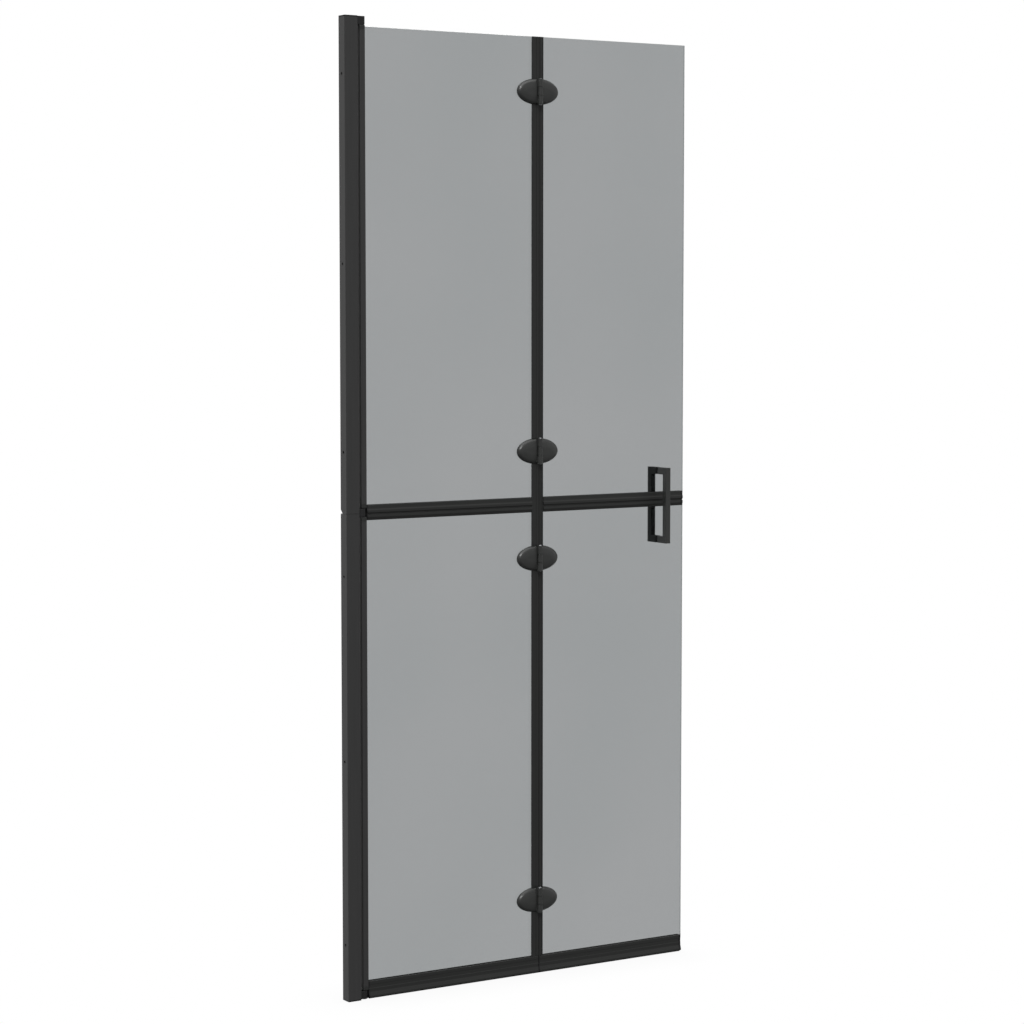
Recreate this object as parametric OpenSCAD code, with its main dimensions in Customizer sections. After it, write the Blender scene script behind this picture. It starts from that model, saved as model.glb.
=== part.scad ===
// Folding walk-in shower screen: a wall profile, a glazed inner leaf that pivots on it, and a glazed
// outer leaf that folds against the inner one. The wall face is the plane x = 0, the screen runs along
// +X, the bather's side with the fold pins is -Y, and z = 0 is the shower tray.

/* [Overall] */
// Width from the wall face to the free edge of the glass
screen_w = 800; // [780:5:900]
// Height of the wall profile
screen_h = 1900; // [1750:10:2100]
// Distance from the fold pin to the free edge of the glass
outer_leaf_w = 360; // [300:5:370]
// Height of the middle rail's centre above the tray
mid_rail_z = 952.5; // [900:0.5:1000]

/* [Wall profile] */
// Width of the wall profile, along the screen
profile_w = 28; // [26:0.5:36]
// Depth of the wall profile
profile_d = 25; // [22:0.5:28]
// Wall thickness of the wall profile
profile_wall = 1.6; // [1.2:0.1:2]
// Outer corner radius of the wall profile
profile_r = 1.6; // [1:0.1:3]
// Height of the ribs inside the channel
rib_h = 1; // [0.6:0.1:1.2]
// Distance of the ribs from the channel's mouth
rib_inset = 7; // [5:0.5:8]
// Width of a rib
rib_w = 1; // [0.8:0.1:1.5]
// Height of the joint between the two halves of the wall profile
profile_joint_z = 951.5; // [940:0.5:960]
// Open seam between the two halves
profile_seam = 0.4; // [0.2:0.1:0.8]
// Height of the relief above the seam, at the back corner of the wall side
seam_notch_h = 9; // [4:0.5:10]
// Depth of that relief
seam_notch_d = 8.5; // [3:0.5:9]
// Height of the lowest wall screw, and distance of the highest from the top
screw_end = 110; // [80:5:140]
// Spacing of the three wall screws in each half
screw_pitch = 360; // [300:5:370]
// Diameter of the holes for the wall screws
screw_hole_d = 5.5; // [4:0.1:7]
// Length of the bar that joins the two halves
joiner_h = 122; // [100:2:140]
// Thickness of that bar
joiner_t = 4; // [3:0.5:5]
// Width of that bar
joiner_w = 12; // [9:0.5:13]
// Diameter of the set screws in that bar
set_screw_d = 5; // [4:0.5:6]

/* [Pivots] */
// Clear width between the wall profile and the hinge post
post_gap = 7.5; // [7.5:0.1:9]
// Distance of the pivot axis from the post's wall side
pivot_inset = 4.2; // [4.1:0.1:4.4]
// Diameter of the pivot pins
pivot_pin_d = 4; // [3:0.1:4]
// Length of a pivot pin inside the post
pivot_pin_grip = 24; // [18:1:30]
// Wall of the bushes in the hinge post
bush_wall = 0.9; // [0.7:0.1:0.9]
// Radius of the round collars at the ends of the hinge post
collar_r = 5.3; // [4.5:0.1:5.8]
// Height of those collars
collar_h = 8.5; // [5:0.5:12]
// Radius of the round end of a pivot block's ear
ear_r = 6.5; // [5.5:0.1:6.8]
// Half the depth of the ear's neck
ear_neck = 5.5; // [4:0.1:6]
// Height of the top and bottom ears
ear_h = 16; // [13:0.5:18]
// Height of the middle ear, between the panes
mid_ear_h = 16; // [10:0.5:16.5]
// Length of a pivot block inside the wall profile
block_grip = 32; // [24:1:40]
// Thickness of the caps at both ends of the wall profile
cap_t = 2.4; // [1.5:0.1:3]
// Diameter of the countersunk screws in the pivot blocks
block_screw_d = 4; // [3:0.1:5]
// Length of those screws
block_screw_l = 13; // [10:0.5:15]
// Half the depth of the swing seal's nose
seal_nose = 5.5; // [4:0.1:6]

/* [Hinge post] */
// Width of the hinge post
post_w = 12; // [11.5:0.1:14]
// Depth of the hinge post
post_d = 14; // [12:0.5:15]
// Bevel on the post's edges
post_bevel = 0.8; // [0.3:0.1:1.2]
// Web between the pin bore and the glazing channel
post_web = 0.7; // [0.5:0.1:1]

/* [Glass] */
// Thickness of the glass
glass_t = 6; // [5:0.5:6]
// Distance of the glass top below the top of the wall profile
glass_top_gap = 19; // [18:0.5:24]
// Depth of the panes in the middle rail
mid_grip = 6; // [5:0.1:6]
// Depth of the lower panes in the bottom rail
bottom_grip = 8; // [6:0.5:9]
// Thickness of the glazing gaskets
gasket_t = 0.8; // [0.6:0.1:0.9]

/* [Rails] */
// Height of the middle rail
mid_rail_h = 30; // [30:0.5:36]
// Half the depth of the middle rail at its bead
mid_rail_bead = 8; // [7.6:0.1:9]
// Height of the bottom rail with its wiper
bottom_rail_h = 34.4; // [32:0.2:40]
// Half the depth of the bottom rail at its foot
bottom_rail_foot = 9; // [8.4:0.1:10]
// Half the depth of the rails at their upper face
rail_face = 6.8; // [6.4:0.1:7.2]
// Thickness of the wiper's lip under the bottom rail
wiper_t = 1.5; // [1:0.1:2.5]
// Thickness of the end caps on the wall side
post_cap_t = 2; // [1.5:0.1:4]
// Thickness of the end caps at the free edge
free_cap_t = 6; // [4:0.5:8]
// Distance of the end caps from the free edge of the glass
free_cap_gap = 3; // [1:0.5:6]
// Length of the tongues that hold the end caps
cap_tongue = 8; // [5:0.5:14]

/* [Fold stiles] */
// Distance of the inner stile's front edge from the fold pin
stile_inner_w = 13.5; // [12:0.5:18]
// Distance of the inner stile's back edge from the fold pin
stile_inner_back_w = 7.5; // [6:0.5:10]
// Distance of the outer stile's edge from the fold pin
stile_outer_w = 13; // [11:0.5:16]
// Distance of the seam from the fold pin
seam_offset = 3; // [2:0.1:4]
// Open seam between the two leaves
seam_gap = 0.8; // [0.6:0.1:1.5]
// Half the depth of the stiles
stile_half_d = 6; // [5:0.1:6]
// Thickness of a stile's web beside the glass edge
stile_web = 1.6; // [1.2:0.1:2]

/* [Hinges] */
// Distance of the top hinge's centre below the top of the glass
hinge_top_gap = 108; // [80:1:200]
// Distance of the two middle hinges from the middle rail's centre
hinge_mid_gap = 107.5; // [70:0.5:200]
// Height of the lowest hinge's centre
hinge_bottom_z = 151; // [100:1:250]
// Width of the oval hinge
hinge_w = 97.4; // [90:0.2:110]
// Height of the oval hinge
hinge_h = 52; // [46:0.5:60]
// Thickness of the oval's rim
hinge_rim = 2.2; // [1.5:0.1:3]
// Height of the oval's front above its seat on the glass
hinge_dome = 7; // [6.6:0.1:8]
// Distance of the fold pin in front of the middle of the glass
fold_pin_y = 15; // [15:0.1:17]
// Diameter of the knuckles
knuckle_d = 11; // [9:0.1:11]
// Height of the three knuckles together
knuckle_h = 50; // [40:0.5:54]
// Height of the middle knuckle
knuckle_mid_h = 16; // [12:0.5:20]
// Thickness of the washers between the knuckles
washer_t = 0.8; // [0.6:0.1:1.2]
// Diameter of the hinge pins
hinge_pin_d = 5; // [4:0.1:6]
// Diameter of a hinge pin's domed heads
pin_head_d = 7; // [6.4:0.1:8]
// Gap between a leaf plate and the knuckles
knuckle_gap = 1.5; // [1:0.1:2]
// Width of the oval plates behind the glass
back_plate_w = 83; // [80:0.5:90]
// Height of those plates
back_plate_h = 45; // [43:0.5:50]
// Thickness of those plates
back_plate_t = 3.8; // [3.4:0.1:5]
// Thickness of the pads between plate and glass
pad_t = 0.8; // [0.5:0.1:1]
// Distance of the hinge screws from the hinge's centre, along the screen
hinge_screw_x = 27; // [25:0.5:29]
// Distance of the hinge screws from the hinge's centre, up and down
hinge_screw_z = 10; // [8:0.5:12]
// Diameter of the hinge screws
hinge_screw_d = 5; // [4:0.1:5.6]
// Diameter of the heads of the hinge screws
hinge_screw_head = 9.2; // [7:0.1:9.6]
// Depth of the countersink for those heads
countersink = 2.2; // [1.6:0.1:2.4]
// Diameter of the holes in the glass for the hinge screws
glass_hole_d = 10; // [8:0.1:12]

/* [Handle] */
// Distance of the handle's centre from the free edge of the glass
handle_edge = 59; // [45:1:120]
// Height of the handle's centre
handle_z = 940; // [930:1:960]
// Overall height of the handle
handle_h = 155.6; // [130:0.2:240]
// Width of the handle's bars, along the screen
handle_w = 11.5; // [8:0.5:14]
// Distance of the handle's outer face from the middle of the glass
handle_reach = 34; // [28:0.5:40]
// Thickness of the upright bars
handle_bar = 12; // [8:0.5:14]
// Height of the arms
handle_arm = 14; // [10:0.5:18]
// Diameter of the studs that join the two halves of the handle
stud_d = 6; // [4:0.5:6]
// Length of a stud on each side of the glass
stud_reach = 15; // [10:0.5:17]

/* [Fits] */
// Gap at rest between parts that move past each other
swing_gap = 0.4; // [0.3:0.1:0.6]
// Clearance between parts that are fixed together
fit_gap = 0.1; // [0.05:0.01:0.2]
// Radial clearance of a pin in its bore
run_gap = 0.05; // [0.03:0.01:0.08]

/* [Hidden] */
$fn = 48;
eps = 0.01;
oval_steps = 40;
corner_steps = 6;

fold_x = screen_w - outer_leaf_w;
profile_half = profile_d / 2;
channel_half = profile_half - profile_wall;
insert_half = channel_half - rib_h - 2 * fit_gap;
post_x0 = profile_w + post_gap;
post_x1 = post_x0 + post_w;
post_half = post_d / 2;
pivot_x = post_x0 + pivot_inset;
pin_r = pivot_pin_d / 2;
bush_r = pin_r + run_gap + bush_wall;
post_bore_r = bush_r + run_gap;
seal_hollow_r = norm([post_half + 2 * fit_gap + swing_gap, seal_nose]);

glass_half = glass_t / 2;
glass_top = screen_h - glass_top_gap;
glaze_half = glass_half + gasket_t + 2 * fit_gap;
glaze_floor = gasket_t + 2 * fit_gap;
post_glaze_x = pivot_x + post_bore_r + post_web;
pane_x0 = post_glaze_x + glaze_floor;
pane_bottom = bottom_rail_h - bottom_grip;
pane_mid_gap = mid_rail_h / 2 - mid_grip;

mid_ear_z0 = mid_rail_z - mid_ear_h / 2;
mid_ear_z1 = mid_rail_z + mid_ear_h / 2;
top_ear_z = screen_h - ear_h;
bush_lift = swing_gap + collar_h;
post_z = [ear_h + bush_lift, mid_ear_z0 - bush_lift, mid_ear_z1 + bush_lift, top_ear_z - bush_lift];

rail_x0 = post_x1 + 3 * fit_gap;
seam_x = fold_x + seam_offset;
seam_in = seam_x - seam_gap / 2;
seam_out = seam_x + seam_gap / 2;
stile_in_x = fold_x - stile_inner_w;
stile_back_x = fold_x - stile_inner_back_w;
stile_out_x = fold_x + stile_outer_w;
pane_edge_inset = stile_web + 3 * fit_gap;
pane_in_x1 = seam_in - pane_edge_inset;
pane_out_x0 = seam_out + pane_edge_inset;
fold_cap_t = stile_web - fit_gap;
cap_end_x = screen_w - free_cap_gap;
slot_half = glass_half + 2 * fit_gap;
core_half = rail_face - 2.2;
core_floor = 1.8;
mid_core_z = pane_mid_gap - glaze_floor - core_floor;
foot_core = [8.6, pane_bottom - glaze_floor - core_floor];

hinge_z = [hinge_bottom_z, mid_rail_z - hinge_mid_gap, mid_rail_z + hinge_mid_gap,
           glass_top - hinge_top_gap];
seat_y = glass_half + pad_t;
leaf_edge = knuckle_d / 2 + knuckle_gap;
knuckle_r = knuckle_d / 2;
pin_bore_r = hinge_pin_d / 2 + run_gap;
screw_r = hinge_screw_d / 2;
screw_tip_y = seat_y + 4.2;
arm_in = handle_h / 2 - handle_arm;
arm_zs = [handle_z - handle_h / 2 + handle_arm / 2, handle_z + handle_h / 2 - handle_arm / 2];
handle_x = screen_w - handle_edge;
stud_r = stud_d / 2;
wall_screw_zs = [for (i = [0:2]) screw_end + i * screw_pitch];

BLACK = [0.19, 0.19, 0.2];
DARK = [0.08, 0.08, 0.085];
RUBBER = [0.12, 0.12, 0.125];
STEEL = [0.62, 0.63, 0.65];
SMOKE = [0.35, 0.36, 0.37, 0.55];

// A flat outline drawn in the y-z plane and pulled along +X from x0 to x1.
module along_x(x0, x1) {
    translate([x0, 0, 0]) rotate([90, 0, 90]) linear_extrude(x1 - x0) children();
}

// A flat outline drawn in the x-y plane and pulled up from z0 to z1.
module upright(z0, z1) {
    translate([0, 0, z0]) linear_extrude(z1 - z0) children();
}

// A flat outline drawn in the x-z plane that reaches from y0 forwards to y0 - depth.
module forward(y0, depth) {
    translate([0, y0, 0]) rotate([90, 0, 0]) linear_extrude(depth) children();
}

// A round rod along Y.
module rod_y(y0, y1, r) {
    translate([0, y1, 0]) rotate([90, 0, 0]) cylinder(r = r, h = y1 - y0);
}

// The corner points of a rectangle whose corners are arcs, counter-clockwise.
function arc_rect(x0, y0, x1, y1, r) = [
    for (c = [[x1 - r, y1 - r, 0], [x0 + r, y1 - r, 90], [x0 + r, y0 + r, 180], [x1 - r, y0 + r, 270]])
        for (i = [0:corner_steps])
            let (t = c[2] + 90 * i / corner_steps) [c[0] + r * cos(t), c[1] + r * sin(t)]
];

// An outline that is the same in front and behind, from its points behind, listed from the top down.
function both_sides(pts) = concat(pts, [for (i = [len(pts) - 1:-1:0]) [-pts[i][0], pts[i][1]]]);

// Wall profile: a channel that is open towards the screen, with two ribs that stop the swing seal.
module wall_profile_section() {
    difference() {
        polygon(arc_rect(0, -profile_half, profile_w, profile_half, profile_r));
        translate([profile_wall, -channel_half]) square([profile_w, 2 * channel_half]);
    }
    for (s = [-1, 1])
        translate([profile_w - rib_inset - rib_w, s > 0 ? channel_half - rib_h : -channel_half - eps])
            square([rib_w, rib_h + eps]);
}

module wall_profile_half(z0, z1, screw_zs) {
    difference() {
        upright(z0, z1) wall_profile_section();
        for (z = screw_zs)
            translate([-1, 0, z]) rotate([0, 90, 0]) cylinder(d = screw_hole_d, h = profile_wall + 2);
        for (z = block_screw_zs())
            if (z > z0 && z < z1)
                translate([block_screw_x(), 0, z]) countersunk_hole(profile_half, profile_wall + 1,
                    block_screw_d / 2 + fit_gap, profile_wall);
    }
}

// The relief above the seam: a sloping cut through the back corner of the wall side.
module seam_notch() {
    translate([-1, 0, profile_joint_z])
        rotate([90, 0, 90])
        linear_extrude(profile_wall + 5)
        polygon([[profile_half - seam_notch_d, 0], [profile_half + 1, 0],
                 [profile_half + 1, seam_notch_h], [profile_half, seam_notch_h]]);
}

module wall_profile_upper() {
    color(BLACK)
    difference() {
        wall_profile_half(profile_joint_z + profile_seam / 2, screen_h - cap_t - fit_gap,
            [for (z = wall_screw_zs) screen_h - z]);
        seam_notch();
    }
}

module wall_profile_lower() {
    color(BLACK)
    wall_profile_half(cap_t + fit_gap, profile_joint_z - profile_seam / 2, wall_screw_zs);
}

// A bar behind the seam, with four set screws that press it against the channel's walls.
joiner_x0 = profile_wall + fit_gap;
joiner_x1 = joiner_x0 + joiner_t;
joiner_screw_zs = [for (s = [-0.38, -0.2, 0.2, 0.38]) profile_joint_z + s * joiner_h];

module profile_joiner() {
    color(STEEL)
    difference() {
        translate([joiner_x0, -joiner_w / 2, profile_joint_z - joiner_h / 2])
            cube([joiner_t, joiner_w, joiner_h]);
        for (z = joiner_screw_zs)
            translate([0, 0, z]) rotate([0, 90, 0]) cylinder(d = set_screw_d + 2 * run_gap, h = profile_w);
    }
}

// A countersunk hole or screw along Y, with its wide end at y and its shank towards -Y.
module countersunk_hole(y, length, r, head_h) {
    head_r = r * 1.8;
    rod_y(y - length, y + eps, r);
    translate([0, y, 0]) rotate([90, 0, 0]) cylinder(r1 = head_r, r2 = r, h = head_h);
    rod_y(y, y + 1, head_r);
}

module countersunk_screw(y, length, r, head_r, head_h) {
    rod_y(y - length, y - head_h / 2, r);
    translate([0, y, 0]) rotate([90, 0, 0]) cylinder(r1 = head_r, r2 = r, h = head_h);
}

// Side screws hold the three pivot blocks from the side away from the bather.
function block_screw_x() = profile_w - rib_inset - rib_w - 6;
function block_screw_zs() = [block_grip * 0.7, mid_rail_z - block_grip * 0.6,
    mid_rail_z + block_grip * 0.6, screen_h - block_grip * 0.7];

module profile_screws() {
    color(STEEL) {
        for (z = block_screw_zs())
            translate([block_screw_x(), 0, z])
                countersunk_screw(profile_half, block_screw_l, block_screw_d / 2,
                    block_screw_d * 0.9, profile_wall);
        for (z = joiner_screw_zs)
            translate([joiner_x0, 0, z]) rotate([0, 90, 0]) cylinder(d = set_screw_d, h = joiner_t);
    }
}

// The part of a pivot block that sits in the channel, with its blind screw holes.
module block_insert(x0, z0, z1) {
    difference() {
        translate([x0, -insert_half, z0]) cube([profile_w - x0, 2 * insert_half, z1 - z0]);
        for (z = block_screw_zs())
            translate([block_screw_x(), 0, z])
                rod_y(profile_half - block_screw_l - 0.5, profile_half, block_screw_d / 2 + run_gap);
    }
}

// The ear that carries a pivot pin: a neck from the channel and a round end on the pivot axis.
module ear(z0, z1) {
    upright(z0, z1) {
        translate([pivot_x, 0]) circle(r = ear_r);
        translate([profile_w - 1, -ear_neck]) square([post_gap + pivot_inset + 1, 2 * ear_neck]);
    }
}

module pin_hole(z0, z1) {
    translate([pivot_x, 0, z0]) cylinder(r = pin_r + run_gap, h = z1 - z0);
}

// The flat plate that closes an end of the wall profile.
module profile_cap(z0) {
    upright(z0, z0 + cap_t) polygon(arc_rect(0, -profile_half, profile_w, profile_half, profile_r));
}

module top_pivot_block() {
    color(DARK)
    difference() {
        union() {
            block_insert(profile_wall + fit_gap, screen_h - block_grip, screen_h - cap_t + eps);
            ear(top_ear_z, screen_h);
            profile_cap(screen_h - cap_t);
        }
        pin_hole(top_ear_z - 1, screen_h - cap_t);
    }
}

module middle_pivot_block() {
    color(DARK)
    difference() {
        union() {
            block_insert(joiner_x1 + fit_gap, mid_rail_z - block_grip, mid_rail_z + block_grip);
            ear(mid_ear_z0, mid_ear_z1);
        }
        pin_hole(mid_ear_z0 - 1, mid_ear_z1 + 1);
    }
}

module bottom_pivot_block() {
    color(DARK)
    difference() {
        union() {
            block_insert(profile_wall + fit_gap, cap_t - eps, block_grip);
            ear(0, ear_h);
            profile_cap(0);
        }
        pin_hole(cap_t, ear_h + 1);
    }
}

module pivot_pin(z0, z1) {
    color(STEEL) translate([pivot_x, 0, z0]) cylinder(r = pin_r, h = z1 - z0);
}

module top_pivot_pin() {
    pivot_pin(post_z[3] - pivot_pin_grip, screen_h - cap_t - fit_gap);
}

module middle_pivot_pin() {
    pivot_pin(post_z[1] - pivot_pin_grip, post_z[2] + pivot_pin_grip);
}

module bottom_pivot_pin() {
    pivot_pin(cap_t + fit_gap, post_z[0] + pivot_pin_grip);
}

// Swing seal: fills the channel's mouth, hollowed to the circle that the turning post needs.
module swing_seal(z0, z1) {
    color(RUBBER)
    difference() {
        upright(z0, z1) {
            translate([profile_w - rib_inset + fit_gap, -channel_half + fit_gap])
                square([rib_inset - fit_gap, 2 * (channel_half - fit_gap)]);
            translate([profile_w - 1, -seal_nose])
                square([post_gap + 1, 2 * seal_nose]);
        }
        translate([pivot_x, 0, z0 - 1]) cylinder(r = seal_hollow_r, h = z1 - z0 + 2);
    }
}

module swing_seal_upper() {
    swing_seal(mid_rail_z + block_grip + fit_gap, screen_h - block_grip - fit_gap);
    color(RUBBER) seal_infill(mid_ear_z1 + fit_gap, mid_rail_z + block_grip);
    color(RUBBER) seal_infill(screen_h - block_grip, top_ear_z - fit_gap);
}

module swing_seal_lower() {
    swing_seal(block_grip + fit_gap, mid_rail_z - block_grip - fit_gap);
    color(RUBBER) seal_infill(ear_h + fit_gap, block_grip);
    color(RUBBER) seal_infill(mid_rail_z - block_grip, mid_ear_z0 - fit_gap);
}

// Beside the pivot blocks only the seal's nose carries on.
module seal_infill(z0, z1) {
    difference() {
        upright(z0, z1)
            translate([profile_w + fit_gap, -seal_nose]) square([post_gap, 2 * seal_nose]);
        translate([pivot_x, 0, z0 - 1]) cylinder(r = seal_hollow_r, h = z1 - z0 + 2);
    }
}

// Hinge post: an extrusion with a bore for the pivot pins and a channel for the glass edge.
module post_section() {
    b = post_bevel;
    difference() {
        polygon([[post_x0 + b, -post_half], [post_x1 - b, -post_half], [post_x1, -post_half + b],
                 [post_x1, post_half - b], [post_x1 - b, post_half], [post_x0 + b, post_half],
                 [post_x0, post_half - b], [post_x0, -post_half + b]]);
        translate([pivot_x, 0]) circle(r = post_bore_r);
        translate([post_glaze_x, -glaze_half]) square([post_x1, 2 * glaze_half]);
    }
}

module hinge_post_upper() {
    color(BLACK) upright(post_z[2], post_z[3]) post_section();
}

module hinge_post_lower() {
    color(BLACK) upright(post_z[0], post_z[1]) post_section();
}

// A bush at z: its collar is on the side that way points to, with a flat that clears the glass edge,
// and its sleeve is inside the post.
module pivot_bush(z, way) {
    translate([pivot_x, 0, z])
        difference() {
            union() {
                translate([0, 0, way > 0 ? 0 : -collar_h]) cylinder(r = collar_r, h = collar_h);
                translate([0, 0, way > 0 ? -pivot_pin_grip : 0])
                    cylinder(r = bush_r, h = pivot_pin_grip);
            }
            translate([0, 0, -pivot_pin_grip - 1])
                cylinder(r = pin_r + run_gap, h = 2 * pivot_pin_grip + 2);
            translate([pane_x0 - pivot_x - 2 * fit_gap, -collar_r, -pivot_pin_grip - 1])
                cube([collar_r, 2 * collar_r, 2 * pivot_pin_grip + 2]);
        }
}

module pivot_bushes() {
    color(RUBBER) {
        pivot_bush(post_z[0], -1);
        pivot_bush(post_z[1], 1);
        pivot_bush(post_z[2], -1);
        pivot_bush(post_z[3], 1);
    }
}

// A U-shaped gasket around the pane's edge in the post.
module post_gasket(z0, z1) {
    color(RUBBER)
    upright(z0, z1)
    difference() {
        translate([post_glaze_x + fit_gap, -glaze_half + fit_gap])
            square([post_x1 - post_glaze_x - fit_gap, 2 * (glaze_half - fit_gap)]);
        translate([pane_x0 - fit_gap, -glass_half - eps]) square([post_w, glass_t + 2 * eps]);
    }
}

module post_gasket_upper() {
    post_gasket(post_z[2], post_z[3]);
}

module post_gasket_lower() {
    post_gasket(max(pane_bottom, post_z[0]), post_z[1]);
}

// A pane, less the round holes for the hinge screws and the handle.
module pane(x0, x1, z0, z1, hinge_rows, side, handle_hole_z) {
    color(SMOKE)
    difference() {
        translate([x0, -glass_half, z0]) cube([x1 - x0, glass_t, z1 - z0]);
        for (z = hinge_rows) for (s = [-1, 1])
            translate([fold_x + side * hinge_screw_x, 0, z + s * hinge_screw_z])
                rod_y(-glass_t, glass_t, glass_hole_d / 2);
        for (z = handle_hole_z)
            translate([handle_x, 0, z]) rod_y(-glass_t, glass_t, glass_hole_d / 2);
    }
}

module glass_upper_inner() {
    pane(pane_x0, pane_in_x1, mid_rail_z + pane_mid_gap, glass_top, [hinge_z[2], hinge_z[3]], -1, []);
}

module glass_lower_inner() {
    pane(pane_x0, pane_in_x1, pane_bottom, mid_rail_z - pane_mid_gap, [hinge_z[0], hinge_z[1]], -1, []);
}

module glass_upper_outer() {
    pane(pane_out_x0, screen_w, mid_rail_z + pane_mid_gap, glass_top, [hinge_z[2], hinge_z[3]], 1,
        [arm_zs[1]]);
}

module glass_lower_outer() {
    pane(pane_out_x0, screen_w, pane_bottom, mid_rail_z - pane_mid_gap, [hinge_z[0], hinge_z[1]], 1,
        [arm_zs[0]]);
}

// Middle rail: a flat upper face, a ledge to a raised bead, a groove, a rib and a fine shadow line.
module mid_rail_outline() {
    f = rail_face;
    b = mid_rail_bead;
    h = mid_rail_h / 2;
    polygon(both_sides([[f - 1, h], [f, h - 0.8], [f, 0.47 * h], [b - 0.2, 0.32 * h], [b, 0.26 * h],
        [b, 0], [b - 0.4, -0.04 * h], [f - 0.4, -0.07 * h], [f - 0.4, -0.22 * h], [b - 0.4, -0.26 * h],
        [b - 0.4, -0.7 * h], [f, -0.73 * h], [f, -0.84 * h], [b - 0.7, -0.88 * h], [b - 0.7, 0.8 - h],
        [b - 1.5, -h]]));
}

module mid_rail_channels(half, floor_gap) {
    for (s = [-1, 1])
        translate([-half, s > 0 ? pane_mid_gap - floor_gap : -mid_rail_h])
            square([2 * half, mid_rail_h - pane_mid_gap + floor_gap]);
}

module mid_rail(x0, x1) {
    color(BLACK)
    translate([0, 0, mid_rail_z])
    along_x(x0, x1)
    difference() {
        mid_rail_outline();
        mid_rail_channels(glaze_half, glaze_floor);
        translate([-core_half, -mid_core_z]) square([2 * core_half, 2 * mid_core_z]);
    }
}

// The inner rail reaches further behind the glass, where the stile's leg is shorter.
module mid_rail_inner() {
    front_x1 = stile_in_x - 3 * fit_gap;
    color(BLACK)
    difference() {
        mid_rail(rail_x0 + post_cap_t, stile_back_x - 3 * fit_gap);
        translate([front_x1, -mid_rail_bead - 1, mid_rail_z - mid_rail_h])
            cube([stile_inner_w, mid_rail_bead + 1, 2 * mid_rail_h]);
    }
}

module mid_rail_outer() {
    mid_rail(stile_out_x + 3 * fit_gap, cap_end_x - free_cap_t);
}

// U-shaped gaskets around the panes' edges in the middle rail, one facing up and one facing down.
module mid_rail_gaskets(x0, x1) {
    color(RUBBER)
    translate([0, 0, mid_rail_z])
    along_x(x0, x1)
    for (s = [0, 1])
        mirror([0, s, 0])
        difference() {
            translate([-glaze_half + fit_gap, pane_mid_gap - glaze_floor + fit_gap])
                square([2 * (glaze_half - fit_gap), mid_grip + glaze_floor]);
            translate([-glass_half - eps, pane_mid_gap - fit_gap])
                square([glass_t + 2 * eps, mid_rail_h]);
        }
}

module mid_rail_gaskets_inner() {
    mid_rail_gaskets(rail_x0 + post_cap_t, stile_in_x - 3 * fit_gap);
}

module mid_rail_gaskets_outer() {
    mid_rail_gaskets(stile_out_x + 3 * fit_gap, cap_end_x - free_cap_t);
}

// Bottom rail: three flat bands with fine steps, then a foot that flares out over the wiper.
module bottom_rail_outline() {
    f = rail_face;
    foot = bottom_rail_foot;
    h = bottom_rail_h;
    polygon(both_sides([[f - 1, h], [f, h - 0.8], [f, 0.8 * h], [f - 0.4, 0.78 * h], [f - 0.4, 0.58 * h],
        [f, 0.56 * h], [f, 0.37 * h], [foot, 0.16 * h], [foot, wiper_t + 1.2],
        [foot - 0.9, wiper_t + fit_gap]]));
}

module bottom_rail_channel(half, floor_gap) {
    translate([-half, pane_bottom - floor_gap]) square([2 * half, bottom_rail_h]);
}

wiper_stem = 2;
wiper_stem_h = 5.4;

module bottom_rail(x0, x1) {
    color(BLACK)
    along_x(x0, x1)
    difference() {
        bottom_rail_outline();
        bottom_rail_channel(glaze_half, glaze_floor);
        translate([-core_half, foot_core[0]]) square([2 * core_half, foot_core[1] - foot_core[0]]);
        translate([-wiper_stem - fit_gap, 0])
            square([2 * (wiper_stem + fit_gap), wiper_t + wiper_stem_h - 0.4]);
    }
}

module bottom_rail_inner() {
    bottom_rail(rail_x0 + post_cap_t, seam_in - fold_cap_t);
}

module bottom_rail_outer() {
    bottom_rail(seam_out + fold_cap_t, cap_end_x - free_cap_t);
}

module bottom_rail_gasket(x0, x1) {
    color(RUBBER)
    along_x(x0, x1)
    difference() {
        translate([-glaze_half + fit_gap, pane_bottom - glaze_floor + fit_gap])
            square([2 * (glaze_half - fit_gap), bottom_grip + glaze_floor]);
        translate([-glass_half - eps, pane_bottom - fit_gap]) square([glass_t + 2 * eps, bottom_rail_h]);
    }
}

module bottom_rail_gasket_inner() {
    bottom_rail_gasket(rail_x0 + post_cap_t, stile_in_x);
}

module bottom_rail_gasket_outer() {
    bottom_rail_gasket(stile_out_x, cap_end_x - free_cap_t);
}

// A strip with a stem in the rail's foot and a lip that rests on the tray.
module wiper(x0, x1) {
    color(RUBBER)
    along_x(x0, x1) {
        translate([-bottom_rail_foot + 1.5, 0]) square([2 * bottom_rail_foot - 3, wiper_t]);
        translate([-wiper_stem, wiper_t - eps]) square([2 * wiper_stem, wiper_stem_h - 1]);
    }
}

module wiper_inner() {
    wiper(rail_x0, seam_in);
}

module wiper_outer() {
    wiper(seam_out, cap_end_x - free_cap_gap);
}

// End caps close the rails, and their tongues sit in the hollow cores.
module mid_cap(x0, x1, tongue_way) {
    translate([0, 0, mid_rail_z]) {
        along_x(x0, x1)
        difference() {
            mid_rail_outline();
            mid_rail_channels(slot_half, fit_gap);
        }
        along_x(tongue_way > 0 ? x1 - eps : x0 - cap_tongue, tongue_way > 0 ? x1 + cap_tongue : x0 + eps)
            translate([-core_half + fit_gap, -mid_core_z + fit_gap])
            square([2 * (core_half - fit_gap), 2 * (mid_core_z - fit_gap)]);
    }
}

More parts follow.
